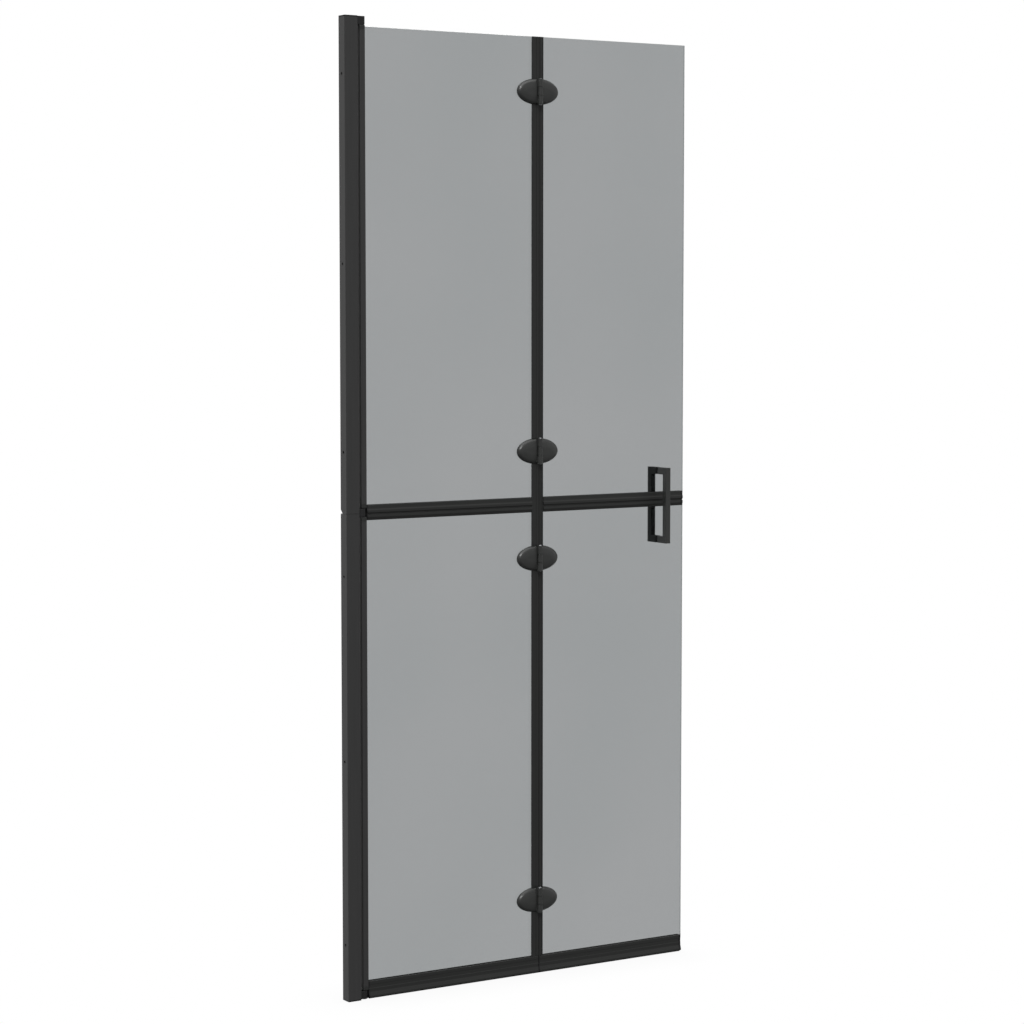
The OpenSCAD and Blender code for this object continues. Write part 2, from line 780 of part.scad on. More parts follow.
module foot_cap(x0, x1, tongue_way, with_glass) {
    along_x(x0, x1)
        difference() {
            bottom_rail_outline();
            if (with_glass) bottom_rail_channel(slot_half, fit_gap);
            translate([-wiper_stem - fit_gap, 0])
                square([2 * (wiper_stem + fit_gap), wiper_t + wiper_stem_h - 0.4]);
        }
    along_x(tongue_way > 0 ? x1 - eps : x0 - cap_tongue, tongue_way > 0 ? x1 + cap_tongue : x0 + eps)
        translate([-core_half + fit_gap, foot_core[0] + fit_gap])
        square([2 * (core_half - fit_gap), foot_core[1] - foot_core[0] - 2 * fit_gap]);
}

module rail_caps_inner() {
    color(DARK) {
        mid_cap(rail_x0, rail_x0 + post_cap_t, 1);
        foot_cap(rail_x0, rail_x0 + post_cap_t, 1, true);
        foot_cap(seam_in - fold_cap_t, seam_in, -1, false);
    }
}

module rail_caps_outer() {
    color(DARK) {
        mid_cap(cap_end_x - free_cap_t, cap_end_x, -1);
        foot_cap(seam_out, seam_out + fold_cap_t, 1, false);
        difference() {
            foot_cap(cap_end_x - free_cap_t, cap_end_x, -1, true);
            translate([cap_end_x - free_cap_gap, -bottom_rail_foot - 1, -1])
                cube([free_cap_gap + 1, 2 * bottom_rail_foot + 2, 0.47 * bottom_rail_h + 1]);
        }
    }
}

// Fold stiles: channels on the panes' meeting edges, with fine shadow lines in front.
stile_z0 = bottom_rail_h + 3 * fit_gap;
line_d = 0.6;

module fold_stile_inner() {
    color(BLACK)
    upright(stile_z0, glass_top)
    difference() {
        translate([stile_in_x, -stile_half_d]) square([seam_in - stile_in_x, 2 * stile_half_d]);
        translate([stile_in_x - 1, -slot_half])
            square([seam_in - stile_web - stile_in_x + 1, 2 * slot_half]);
        translate([stile_in_x - 1, 0]) square([stile_back_x - stile_in_x + 1, stile_half_d + 1]);
        translate([seam_in - 6.8, -stile_half_d - 1]) square([1, 1 + line_d]);
    }
}

module fold_stile_outer() {
    color(BLACK)
    upright(stile_z0, glass_top) {
        difference() {
            translate([seam_out, -stile_half_d]) square([stile_out_x - seam_out, 2 * stile_half_d]);
            translate([seam_out + stile_web, -slot_half]) square([stile_out_x, 2 * slot_half]);
            translate([seam_out + 2.4, -stile_half_d - 1]) square([1, 1 + line_d]);
        }
        translate([seam_out + 1.2, -stile_half_d]) circle(r = 1.1);
    }
}

// One half of an oval, inset all round, and cut off square at a distance from the fold pin.
function half_oval(inset, side, cut, w = hinge_w, h = hinge_h) =
    let (a = w / 2 - inset, b = h / 2 - inset, t0 = acos(cut / a), n = oval_steps / 2)
    [for (i = [0:n]) let (t = -t0 + 2 * t0 * i / n) [side * a * cos(t), b * sin(t)]];

// The front plate of a hinge: a rim, a wide bevel and a gently raised middle.
module oval_plate(side) {
    hull() {
        forward(0, hinge_rim) polygon(half_oval(0, side, leaf_edge));
        forward(-hinge_dome + 1.5, eps) polygon(half_oval(4.5, side, leaf_edge));
        forward(-hinge_dome + 0.3, eps) polygon(half_oval(11, side, leaf_edge));
        forward(-hinge_dome + eps, eps) polygon(half_oval(17, side, leaf_edge));
    }
}

module knuckle(z0, z1) {
    translate([0, -fold_pin_y, z0]) cylinder(r = knuckle_r, h = z1 - z0);
}

// The link that joins a knuckle to the plate beside it, behind the line of the knuckle.
link_y0 = fold_pin_y - knuckle_r + 1.6;
link_y1 = stile_half_d + 1.6;

module link(side, z0, z1) {
    translate([side > 0 ? 0 : -leaf_edge - 1, -link_y0, z0])
        cube([leaf_edge + 1, link_y0 - link_y1, z1 - z0]);
}

knuckle_mid = knuckle_mid_h / 2;
knuckle_end = knuckle_mid + swing_gap + washer_t;

module hinge_leaf(side, z) {
    color(BLACK)
    translate([fold_x, 0, z])
    difference() {
        union() {
            translate([0, -seat_y, 0]) oval_plate(side);
            if (side > 0) {
                knuckle(-knuckle_mid, knuckle_mid);
                link(side, -knuckle_mid, knuckle_mid);
            } else {
                for (s = [0, 1]) mirror([0, 0, s]) {
                    knuckle(knuckle_end, knuckle_h / 2);
                    link(side, knuckle_end, knuckle_h / 2 - 3);
                }
            }
        }
        translate([0, -fold_pin_y, -knuckle_h]) cylinder(r = pin_bore_r, h = 2 * knuckle_h);
        translate([-stile_inner_w - 3 * fit_gap, -stile_half_d - 1.4, -hinge_h])
            cube([stile_inner_w + stile_outer_w + 6 * fit_gap, stile_half_d, 2 * hinge_h]);
        for (s = [-1, 1])
            translate([side * hinge_screw_x, 0, s * hinge_screw_z])
                rod_y(-screw_tip_y - 0.6, 0, screw_r + run_gap);
    }
}

module hinge_1_inner_leaf() { hinge_leaf(-1, hinge_z[3]); }
module hinge_2_inner_leaf() { hinge_leaf(-1, hinge_z[2]); }
module hinge_3_inner_leaf() { hinge_leaf(-1, hinge_z[1]); }
module hinge_4_inner_leaf() { hinge_leaf(-1, hinge_z[0]); }
module hinge_1_outer_leaf() { hinge_leaf(1, hinge_z[3]); }
module hinge_2_outer_leaf() { hinge_leaf(1, hinge_z[2]); }
module hinge_3_outer_leaf() { hinge_leaf(1, hinge_z[1]); }
module hinge_4_outer_leaf() { hinge_leaf(1, hinge_z[0]); }

// Steel pins with domed heads above and below the knuckles.
pin_head_h = 0.8;

module hinge_pins() {
    half = knuckle_h / 2;
    r = pin_head_d / 2;
    color(STEEL)
    for (z = hinge_z)
        translate([fold_x, -fold_pin_y, z]) {
            cylinder(d = hinge_pin_d, h = knuckle_h + pin_head_h, center = true);
            for (s = [0, 1])
                mirror([0, 0, s])
                translate([0, 0, half])
                rotate_extrude()
                polygon([[0, 0], [r, 0], [r, pin_head_h / 2], [r - 0.8, pin_head_h], [0, pin_head_h]]);
        }
}

module hinge_washers() {
    color(RUBBER)
    for (z = hinge_z) for (s = [-1, 1])
        translate([fold_x, -fold_pin_y, z + s * (knuckle_end - washer_t / 2)])
            difference() {
                cylinder(r = knuckle_r - 0.3, h = washer_t, center = true);
                cylinder(r = pin_bore_r, h = washer_t + 1, center = true);
            }
}

// The plates behind the glass, relieved over the stiles.
module back_plate(side, z) {
    translate([fold_x, 0, z])
    difference() {
        forward(seat_y + back_plate_t, back_plate_t)
            polygon(half_oval(0, side, side > 0 ? seam_offset + seam_gap / 2 : -seam_offset + seam_gap / 2,
                back_plate_w, back_plate_h));
        translate([-stile_inner_back_w - 3 * fit_gap, 0, -hinge_h])
            cube([stile_inner_back_w + stile_outer_w + 6 * fit_gap, stile_half_d + 3 * fit_gap,
                2 * hinge_h]);
        for (s = [-1, 1])
            translate([side * hinge_screw_x, 0, s * hinge_screw_z]) {
                rod_y(0, seat_y + back_plate_t, screw_r + fit_gap);
                translate([0, seat_y + back_plate_t, 0]) rotate([90, 0, 0])
                    cylinder(r1 = hinge_screw_head / 2 + fit_gap, r2 = screw_r + fit_gap, h = countersink);
            }
    }
}

module hinge_back_plates_inner() {
    color(BLACK) for (z = hinge_z) back_plate(-1, z);
}

module hinge_back_plates_outer() {
    color(BLACK) for (z = hinge_z) back_plate(1, z);
}

// Soft pads between each plate and the glass.
module pads(side, z) {
    front_w = side > 0 ? stile_outer_w : stile_inner_w;
    back_w = side > 0 ? stile_outer_w : stile_inner_back_w;
    translate([fold_x, 0, z])
    difference() {
        union() {
            forward(-glass_half, pad_t) polygon(half_oval(1.5, side, front_w + 1));
            forward(seat_y, pad_t) polygon(half_oval(1.5, side, back_w + 1, back_plate_w, back_plate_h));
        }
        for (s = [-1, 1])
            translate([side * hinge_screw_x, 0, s * hinge_screw_z])
                rod_y(-seat_y - 1, seat_y + 1, screw_r + fit_gap);
    }
}

module hinge_pads_inner() {
    color(RUBBER) for (z = hinge_z) pads(-1, z);
}

module hinge_pads_outer() {
    color(RUBBER) for (z = hinge_z) pads(1, z);
}

module hinge_screws(side) {
    color(STEEL)
    for (z = hinge_z) for (s = [-1, 1])
        translate([fold_x + side * hinge_screw_x, 0, z + s * hinge_screw_z])
            countersunk_screw(seat_y + back_plate_t, seat_y + back_plate_t + screw_tip_y, screw_r,
                hinge_screw_head / 2, countersink);
}

module hinge_screws_inner() { hinge_screws(-1); }
module hinge_screws_outer() { hinge_screws(1); }

// Sleeves that keep the screws off the glass.
module glass_bush(x, z, bore) {
    translate([x, 0, z])
        difference() {
            rod_y(-glass_half + fit_gap, glass_half - fit_gap, glass_hole_d / 2 - fit_gap);
            rod_y(-glass_t, glass_t, bore + fit_gap);
        }
}

module hinge_bushes(side) {
    color(RUBBER)
    for (z = hinge_z) for (s = [-1, 1])
        glass_bush(fold_x + side * hinge_screw_x, z + s * hinge_screw_z, screw_r);
}

module hinge_bushes_inner() { hinge_bushes(-1); }
module hinge_bushes_outer() { hinge_bushes(1); }

// Half of the handle: an upright bar with two arms back to the glass, and a stud hole in each arm.
module handle_half() {
    color(BLACK)
    difference() {
        translate([0, 0, handle_z])
        along_x(handle_x - handle_w / 2, handle_x + handle_w / 2)
        difference() {
            polygon(arc_rect(-handle_reach, -handle_h / 2, -seat_y + 1, handle_h / 2, 1));
            translate([-handle_reach + handle_bar, -arm_in]) square([handle_reach, 2 * arm_in]);
            translate([-seat_y, -handle_h]) square([2, 2 * handle_h]);
        }
        for (z = arm_zs)
            translate([handle_x, 0, z]) rod_y(-stud_reach - 0.5, 0, stud_r + run_gap);
    }
}

module handle_front() { handle_half(); }
module handle_back() { mirror([0, 1, 0]) handle_half(); }

module handle_studs() {
    color(STEEL)
    for (z = arm_zs) translate([handle_x, 0, z]) rod_y(-stud_reach, stud_reach, stud_r);
}

module handle_pads() {
    color(RUBBER)
    for (z = arm_zs) for (y = [-glass_half, glass_half + pad_t])
        translate([handle_x, 0, z])
            difference() {
                translate([-handle_w / 2 + 0.3, y - pad_t, -handle_arm / 2 + 0.3])
                    cube([handle_w - 0.6, pad_t, handle_arm - 0.6]);
                rod_y(-seat_y - 1, seat_y + 1, stud_r + fit_gap);
            }
}

module handle_bushes() {
    color(RUBBER) for (z = arm_zs) glass_bush(handle_x, z, stud_r);
}

wall_profile_upper();
wall_profile_lower();
profile_joiner();
top_pivot_block();
middle_pivot_block();
bottom_pivot_block();
top_pivot_pin();
middle_pivot_pin();
bottom_pivot_pin();
profile_screws();
swing_seal_upper();
swing_seal_lower();
hinge_post_upper();
hinge_post_lower();
pivot_bushes();
post_gasket_upper();
post_gasket_lower();
glass_upper_inner();
glass_lower_inner();
mid_rail_inner();
mid_rail_gaskets_inner();
bottom_rail_inner();
bottom_rail_gasket_inner();
rail_caps_inner();
wiper_inner();
fold_stile_inner();
hinge_1_inner_leaf();
hinge_2_inner_leaf();
hinge_3_inner_leaf();
hinge_4_inner_leaf();
hinge_pins();
hinge_washers();
hinge_back_plates_inner();
hinge_pads_inner();
hinge_screws_inner();
hinge_bushes_inner();
glass_upper_outer();
glass_lower_outer();
mid_rail_outer();
mid_rail_gaskets_outer();
bottom_rail_outer();
bottom_rail_gasket_outer();
rail_caps_outer();
wiper_outer();
fold_stile_outer();
hinge_1_outer_leaf();
hinge_2_outer_leaf();
hinge_3_outer_leaf();
hinge_4_outer_leaf();
hinge_back_plates_outer();
hinge_pads_outer();
hinge_screws_outer();
hinge_bushes_outer();
handle_front();
handle_back();
handle_studs();
handle_pads();
handle_bushes();
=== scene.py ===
"""Looks of a folding walk-in shower screen: smoked glass in matt black rails, wall profile and oval hinges.

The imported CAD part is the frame. Sizes are in millimetres, in the frame of the part: the wall face is
x = 0, the screen runs along +X, the bather's side is -Y and the shower tray is z = 0.
"""

import logging
import math
from collections.abc import Callable, Iterable, Sequence
from dataclasses import dataclass, field
from enum import Enum

import bmesh
import bpy
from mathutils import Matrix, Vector


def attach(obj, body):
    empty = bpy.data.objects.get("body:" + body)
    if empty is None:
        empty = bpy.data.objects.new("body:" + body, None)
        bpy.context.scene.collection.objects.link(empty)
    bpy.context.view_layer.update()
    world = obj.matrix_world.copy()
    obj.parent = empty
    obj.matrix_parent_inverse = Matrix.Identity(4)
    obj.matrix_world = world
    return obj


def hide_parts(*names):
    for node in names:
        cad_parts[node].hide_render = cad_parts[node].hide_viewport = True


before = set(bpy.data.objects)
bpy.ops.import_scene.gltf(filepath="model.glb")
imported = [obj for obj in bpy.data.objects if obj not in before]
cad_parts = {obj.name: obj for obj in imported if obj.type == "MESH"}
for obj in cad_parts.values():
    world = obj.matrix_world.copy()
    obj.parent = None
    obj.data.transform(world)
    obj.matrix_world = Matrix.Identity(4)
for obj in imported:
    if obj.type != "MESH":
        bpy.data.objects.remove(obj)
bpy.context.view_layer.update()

logging.basicConfig(level=logging.INFO, format="%(message)s")
log = logging.getLogger("shower_screen")

MM = 0.001
Point = tuple[float, float]
Colour = tuple[float, float, float, float]

# The point attribute that says which parts the geometry nodes turn over.
TURNED = "turned_over"

# The middle band of a noise's values, across which a finish goes from its dark to its light tone.
NOISE_BAND = (0.3, 0.7)

# A corner that is flatter than this stays as it is, and an arc takes this share of an edge at most.
FLAT_CORNER = math.radians(170)
ARC_SHARE = 0.45

# How far the middle of a quarter round lies in from both faces, as a share of its radius.
QUARTER_ROUND = 0.293

# The radius of the tiny face that closes the pole of a turned shape.
POLE = 0.01

# A length below this counts as none.
TINY = 1e-6

# How far a cutter reaches past the face that it cuts.
OVER = 1.0


# Names


class Body(Enum):
    """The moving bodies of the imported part."""

    WALL = "wall_side"
    INNER = "inner_leaf"
    OUTER = "outer_leaf"


class Slot(Enum):
    """The record's material slots."""

    COAT = "black_powder_coat"
    PLASTIC = "black_plastic"
    RUBBER = "black_rubber"
    STEEL = "steel"
    GLASS = "smoked_glass"


class Axis(Enum):
    """The direction that a section is pulled along."""

    X = "x"
    Y = "y"
    Z = "z"

    def place(self, a: float, b: float, along: float) -> Vector:
        """The point at (a, b) of a section and at a distance along the axis."""
        orders = {Axis.X: (along, a, b), Axis.Y: (a, along, b), Axis.Z: (a, b, along)}
        return Vector(orders[self])


class Side(Enum):
    """The leaf that a piece beside the fold belongs to, as the sign of its way from the fold pin."""

    INNER = -1
    OUTER = 1

    @property
    def body(self) -> Body:
        """The body that carries this side."""
        return Body.INNER if self is Side.INNER else Body.OUTER

    @property
    def word(self) -> str:
        """The side's word in node names."""
        return self.name.lower()


# Finishes


def to_linear(code: str) -> Colour:
    """Turns an sRGB hex colour such as "#1c1c1e" into linear RGBA."""
    shares = [int(code[i : i + 2], 16) / 255 for i in (1, 3, 5)]
    return (*(c / 12.92 if c <= 0.04045 else ((c + 0.055) / 1.055) ** 2.4 for c in shares), 1.0)


def add_node(
    tree: bpy.types.NodeTree, kind: str, values: dict | None = None, links: dict | None = None
) -> bpy.types.Node:
    """Adds a node to a tree, with its settings and links.

    Args:
        tree: The tree that gets the node.
        kind: The node's type name.
        values: Socket names or indices, or property names, and the value that each gets.
        links: Socket names or indices of the node, and the output that feeds each.

    Returns:
        The new node.
    """
    made = tree.nodes.new(kind)
    for name, value in (values or {}).items():
        if isinstance(name, int) or name in made.inputs:
            made.inputs[name].default_value = value
        else:
            setattr(made, name, value)
    for name, source in (links or {}).items():
        tree.links.new(source, made.inputs[name])
    return made


@dataclass(frozen=True)
class Surface:
    """What all finishes share: the name of the real material, and one node material for it."""

    name: str

    def shader(self, tree: bpy.types.NodeTree) -> bpy.types.NodeSocket:
        """Adds the finish's nodes to a tree and returns its shader's output."""
        raise NotImplementedError

    def material(self) -> bpy.types.Material:
        """Gives the finish as a node material.

        Returns:
            The material, which is built at its first use.
        """
        if self.name not in bpy.data.materials:
            made = bpy.data.materials.new(self.name)
            made.use_nodes = True
            tree = made.node_tree
            tree.nodes.clear()
            add_node(tree, "ShaderNodeOutputMaterial", links={"Surface": self.shader(tree)})
        return bpy.data.materials[self.name]


@dataclass(frozen=True)
class Finish(Surface):
    """A finish of the screen itself: its slot in the record, and the two tones that it drifts between."""

    slot: Slot
    dark: str
    light: str

    def set_tones(self, ramp: bpy.types.Node) -> None:
        """Sets the stops of a colour ramp to the two tones."""
        for stop, place, code in zip(ramp.color_ramp.elements, NOISE_BAND, (self.dark, self.light)):
            stop.position, stop.color = place, to_linear(code)


@dataclass(frozen=True)
class GrainFinish(Finish):
    """An opaque finish with a fine surface grain, and broad clouds that drift over it.

    The grain is given in millimetres of the real surface. A render pixel is about 2 mm wide, so a grain
    that is finer than that is drawn at the size that still shows.
    """

    grain_mm: float
    roughness: tuple[float, float]
    bump_mm: float
    stretch: tuple[float, float, float] = (1.0, 1.0, 1.0)
    metallic: float = 0.0
    clouds_per_metre: float = 9.0
    cloud_share: float = 0.45
    bump_strength: float = 0.35

    def shader(self, tree: bpy.types.NodeTree) -> bpy.types.NodeSocket:
        """Adds the finish's nodes to a tree.

        Args:
            tree: The material's tree.

        Returns:
            The shader's output, with colour, roughness and bump from noise in object coordinates.
        """
        place = add_node(tree, "ShaderNodeTexCoord")
        mapping = add_node(
            tree, "ShaderNodeMapping", {"Scale": self.stretch}, {"Vector": place.outputs["Object"]}
        )
        where = {"Vector": mapping.outputs["Vector"]}
        grain = add_node(
            tree, "ShaderNodeTexNoise",
            {"Scale": 1.0 / (self.grain_mm * MM), "Detail": 3.0, "Roughness": 0.55}, where,
        )
        cloud = add_node(
            tree, "ShaderNodeTexNoise", {"Scale": self.clouds_per_metre, "Detail": 2.0}, where
        )
        both = add_node(
            tree, "ShaderNodeMix", {"data_type": "FLOAT", 0: self.cloud_share},
            {2: grain.outputs["Fac"], 3: cloud.outputs["Fac"]},
        )
        tone = add_node(tree, "ShaderNodeValToRGB", links={"Fac": both.outputs[0]})
        self.set_tones(tone)
        ends = dict(zip(("From Min", "From Max", "To Min", "To Max"), NOISE_BAND + self.roughness))
        rough = add_node(tree, "ShaderNodeMapRange", ends, {"Value": both.outputs[0]})
        bump = add_node(
            tree, "ShaderNodeBump", {"Strength": self.bump_strength, "Distance": self.bump_mm * MM},
            {"Height": grain.outputs["Fac"]},
        )
        shader = add_node(
            tree, "ShaderNodeBsdfPrincipled", {"Metallic": self.metallic},
            {
                "Base Color": tone.outputs["Color"],
                "Roughness": rough.outputs["Result"],
                "Normal": bump.outputs["Normal"],
            },
        )
        return shader.outputs["BSDF"]


@dataclass(frozen=True)
class GlassFinish(Finish):
    """Smoked glass: a body tint with a clear, polished surface and the faint wave of toughened glass."""

    wave_mm: float
    ior: float
    specular: float = 0.25

    def shader(self, tree: bpy.types.NodeTree) -> bpy.types.NodeSocket:
        """Adds the glass's nodes to a tree.

        Args:
            tree: The material's tree.

        Returns:
            The output of a clear transmitting shader, whose tint drifts very slightly over the pane.
        """
        place = add_node(tree, "ShaderNodeTexCoord")
        cloud = add_node(
            tree, "ShaderNodeTexNoise", {"Scale": 1.0 / (self.wave_mm * MM), "Detail": 1.0},
            {"Vector": place.outputs["Object"]},
        )
        tone = add_node(tree, "ShaderNodeValToRGB", links={"Fac": cloud.outputs["Fac"]})
        self.set_tones(tone)
        shader = add_node(
            tree, "ShaderNodeBsdfPrincipled",
            {
                "Roughness": 0.0, "IOR": self.ior, "Transmission Weight": 1.0,
                "Specular IOR Level": self.specular,
            },
            {"Base Color": tone.outputs["Color"]},
        )
        return shader.outputs["BSDF"]


@dataclass(frozen=True)
class FloorFinish(Surface):
    """A white studio floor that is lit from within, so it's as white far away as it is near.

    Its glow is dimmed a little close to what stands on it, by ambient occlusion: a painted contact shadow.
    """

    colour: str
    reach_mm: float
    dimming: float
    samples: int = 12

    def shader(self, tree: bpy.types.NodeTree) -> bpy.types.NodeSocket:
        """Adds the floor's nodes to a tree.

        Args:
            tree: The material's tree.

        Returns:
            The output of an even glow, with a painted contact shadow where an object stands close.
        """
        # Ambient occlusion lowers the glow near the screen: a painted contact shadow.
        contact = add_node(
            tree, "ShaderNodeAmbientOcclusion", {"samples": self.samples, "Distance": self.reach_mm * MM}
        )
        level = add_node(
            tree, "ShaderNodeMapRange", {"To Min": 1.0 - self.dimming, "To Max": 1.0},
            {"Value": contact.outputs["AO"]},
        )
        glow = add_node(
            tree, "ShaderNodeEmission", {"Color": to_linear(self.colour)},
            {"Strength": level.outputs["Result"]},
        )
        return glow.outputs["Emission"]


# Polyester powder coat on extruded aluminium, sprayed and baked: an even matt black with a soft sheen
# and a faint orange peel. The peel is about 1.5 mm across and is drawn at 3 mm so that it shows.
# This copy of the coat is toned darker than the upright and cast copies of the same coat: painted shade on the
# fold stiles.
COAT = GrainFinish(
    "powder_coated_stile", Slot.COAT, "#1d1e1d", "#222322", 3.0, (0.42, 0.5), 0.05, (1.0, 1.0, 0.02)
)

# The same coat on upright extrusions, whose die lines run up the profile under the coat.
# Its tones are lighter than the stiles' and rails' copies of the same coat: painted light on the wall profile
# and the posts.
COAT_UPRIGHT = GrainFinish(
    "powder_coated_upright_extrusion", Slot.COAT, "#2f2f2f", "#353535", 3.0, (0.4, 0.5), 0.06,
    (1.0, 1.0, 0.02),
)

# The same coat on level extrusions, whose die lines run along the screen.
# Its tones are as dark as the stiles' copy, darker than the upright and cast copies of the same coat: painted
# shade on the rails.
COAT_LEVEL = GrainFinish(
    "powder_coated_level_extrusion", Slot.COAT, "#1d1e1d", "#232423", 3.0, (0.4, 0.5), 0.06,
    (0.02, 1.0, 1.0),
)

# Powder coat on the zinc casting of the hinges and the handle: a little smoother than on extrusions.
# Its tones are lighter than the stiles' and rails' copies of the same coat: painted light on the hinges and the
# grips.
COAT_CAST = GrainFinish(
    "powder_coated_zinc_casting", Slot.COAT, "#2f302f", "#363736", 3.5, (0.3, 0.38), 0.05
)

# Glass-filled nylon, injection moulded in a spark-eroded tool: deep black, dull, with a fine even grain.
PLASTIC = GrainFinish("moulded_nylon", Slot.PLASTIC, "#0c0c0d", "#121213", 2.0, (0.5, 0.62), 0.08)

# Extruded EPDM rubber: black, very dull, a little dusty along its length.
RUBBER = GrainFinish("extruded_epdm_rubber", Slot.RUBBER, "#0c0c0c", "#131313", 2.5, (0.7, 0.85), 0.05)

# Soft PVC of the swing seals: a dark grey that is duller than the coat beside it.
SOFT_SEAL = GrainFinish("soft_pvc_seal", Slot.RUBBER, "#232423", "#2a2b2a", 2.5, (0.6, 0.72), 0.05)

# Turned acetal of the collars and washers: black with a satin shine and fine tool marks round it.
ACETAL = GrainFinish(
    "turned_black_acetal", Slot.PLASTIC, "#242524", "#2b2c2b", 1.5, (0.26, 0.34), 0.02, (0.1, 0.1, 1.0)
)

# Stainless steel, turned and brushed: bright grey with fine lines.
STEEL = GrainFinish(
    "brushed_stainless_steel", Slot.STEEL, "#8f9092", "#b4b5b7", 1.5, (0.28, 0.4), 0.02,
    (1.0, 1.0, 0.1), metallic=1.0,
)

# Grey body-tinted float glass, toughened: lets a third of the light through 6 mm, with polished faces.
GLASS = GlassFinish("smoked_toughened_glass", Slot.GLASS, "#9a9d9e", "#9ea0a1", 420.0, 1.45)

# Back-lit white acrylic of the studio floor: plain, pale and even, with a faint painted contact shadow near the
# screen.
FLOOR = FloorFinish("pale_studio_floor", "#ffffff", 140.0, 0.1)


# Outlines


def rounded(corners: Sequence[Point], radius: float | Sequence[float], steps: int = 3) -> list[Point]:
    """Rounds the corners of a closed outline with arcs.

    Args:
        corners: The outline's corners in order.
        radius: The radius of each arc, one for all or one for each corner. A short edge next to a
            corner makes its arc smaller.
        steps: The number of chords in an arc.

    Returns:
        The outline with each corner replaced by its arc.
    """
    radii = [radius] * len(corners) if isinstance(radius, (int, float)) else list(radius)
    made: list[Point] = []
    for i, here in enumerate(corners):
        corner = Vector(here)
        back = Vector(corners[i - 1]) - corner
        ahead = Vector(corners[(i + 1) % len(corners)]) - corner
        angle = back.angle(ahead)
        if angle > FLAT_CORNER or radii[i] <= 0:
            made.append(here)
            continue
        reach = min(radii[i] / math.tan(angle / 2), ARC_SHARE * back.length, ARC_SHARE * ahead.length)
        start = corner + back.normalized() * reach
        end = corner + ahead.normalized() * reach
        true_radius = reach * math.tan(angle / 2)
        middle = (back.normalized() + ahead.normalized()).normalized()
        centre = corner + middle * (true_radius / math.sin(angle / 2))
        first = math.atan2(*(start - centre).yx)
        turn = (math.atan2(*(end - centre).yx) - first + math.pi) % (2 * math.pi) - math.pi
        for k in range(steps + 1):
            a = first + turn * k / steps
            made.append((centre.x + true_radius * math.cos(a), centre.y + true_radius * math.sin(a)))
    return made


def inset(outline: Sequence[Point], depth: float) -> list[Point]:
    """Moves each point of a closed outline inwards, along its mitre.

    Args:
        outline: The points in order.
        depth: How far the edges move, which is little against their lengths.

    Returns:
        The smaller outline, with as many points.
    """
    area = sum(
        outline[i - 1][0] * outline[i][1] - outline[i][0] * outline[i - 1][1] for i in range(len(outline))
    )
    way = 1.0 if area > 0 else -1.0
    made = []
    for i, here in enumerate(outline):
        back = (Vector(here) - Vector(outline[i - 1])).normalized()
        ahead = (Vector(outline[(i + 1) % len(outline)]) - Vector(here)).normalized()
        normal = Vector((-(back.y + ahead.y), back.x + ahead.x)) * way
        if normal.length < TINY:
            made.append(here)
            continue
        normal.normalize()
        mitre = max(0.5, Vector((-back.y, back.x)).dot(normal) * way)
        made.append((here[0] + normal.x * depth / mitre, here[1] + normal.y * depth / mitre))
    return made


def mirrored(points: Sequence[Point]) -> list[Point]:
    """The mirror image of one side of an outline, in the order that goes on from it."""
    return [(-a, b) for a, b in reversed(points)]


def rectangle(a0: float, b0: float, a1: float, b1: float) -> list[Point]:
    """The corners of a rectangle, counter-clockwise."""
    return [(a0, b0), (a1, b0), (a1, b1), (a0, b1)]


def arc(centre: Point, radius: float, start: float, end: float, steps: int) -> list[Point]:
    """Points along an arc, with its angles in degrees."""
    angles = [math.radians(start + (end - start) * k / steps) for k in range(steps + 1)]
    return [(centre[0] + radius * math.cos(a), centre[1] + radius * math.sin(a)) for a in angles]


def polygon(centre: Point, radius: float, sides: int) -> list[Point]:
    """The corners of a regular polygon, which also stands for a drilled hole."""
    return arc(centre, radius, 0.0, 360.0, sides)[:-1]


# Solids


@dataclass
class Solid:
    """A closed mesh in the making, in millimetres of the part's frame."""

    points: list[Vector] = field(default_factory=list)
    faces: list[tuple[int, ...]] = field(default_factory=list)

    def add(self, *others: "Solid") -> "Solid":
        """Adds other solids to this one.

        Args:
            others: What is added.

        Returns:
            This solid itself.
        """
        for other in others:
            start = len(self.points)
            self.points += other.points
            self.faces += [tuple(start + i for i in f) for f in other.faces]
        return self

    def changed(self, change: Callable[[Vector], Vector]) -> "Solid":
        """A copy with each point changed by a function."""
        return Solid([change(p.copy()) for p in self.points], list(self.faces))

    def moved(self, x: float = 0.0, y: float = 0.0, z: float = 0.0) -> "Solid":
        """A copy moved by the given distances."""
        return self.changed(lambda p: p + Vector((x, y, z)))

    def mesh(self, name: str) -> bpy.types.Mesh:
        """Makes a Blender mesh in metres, with merged doubles and faces outwards.

        Args:
            name: The mesh's name.

        Returns:
            The mesh.
        """
        made = bpy.data.meshes.new(name)
        made.from_pydata([p * MM for p in self.points], [], self.faces)
        shell = bmesh.new()
        shell.from_mesh(made)
        bmesh.ops.remove_doubles(shell, verts=shell.verts, dist=TINY)
        bmesh.ops.recalc_face_normals(shell, faces=shell.faces)
        shell.to_mesh(made)
        shell.free()
        return made


def bridged(rings: Sequence[Sequence[Vector]], closed: bool = False) -> Solid:
    """Joins rings of equally many points into a tube.

    Args:
        rings: The rings in order.
        closed: Whether the last ring joins the first. If not, a face closes each end.

    Returns:
        The closed solid.
    """
    count = len(rings[0])
    made = Solid([p for ring in rings for p in ring])
    pairs = len(rings) if closed else len(rings) - 1
    for k in range(pairs):
        low, high = k * count, (k + 1) % len(rings) * count
        for i in range(count):
            j = (i + 1) % count
            made.faces.append((low + i, low + j, high + j, high + i))
    if not closed:
        made.faces.append(tuple(reversed(range(count))))
        made.faces.append(tuple((len(rings) - 1) * count + i for i in range(count)))
    return made


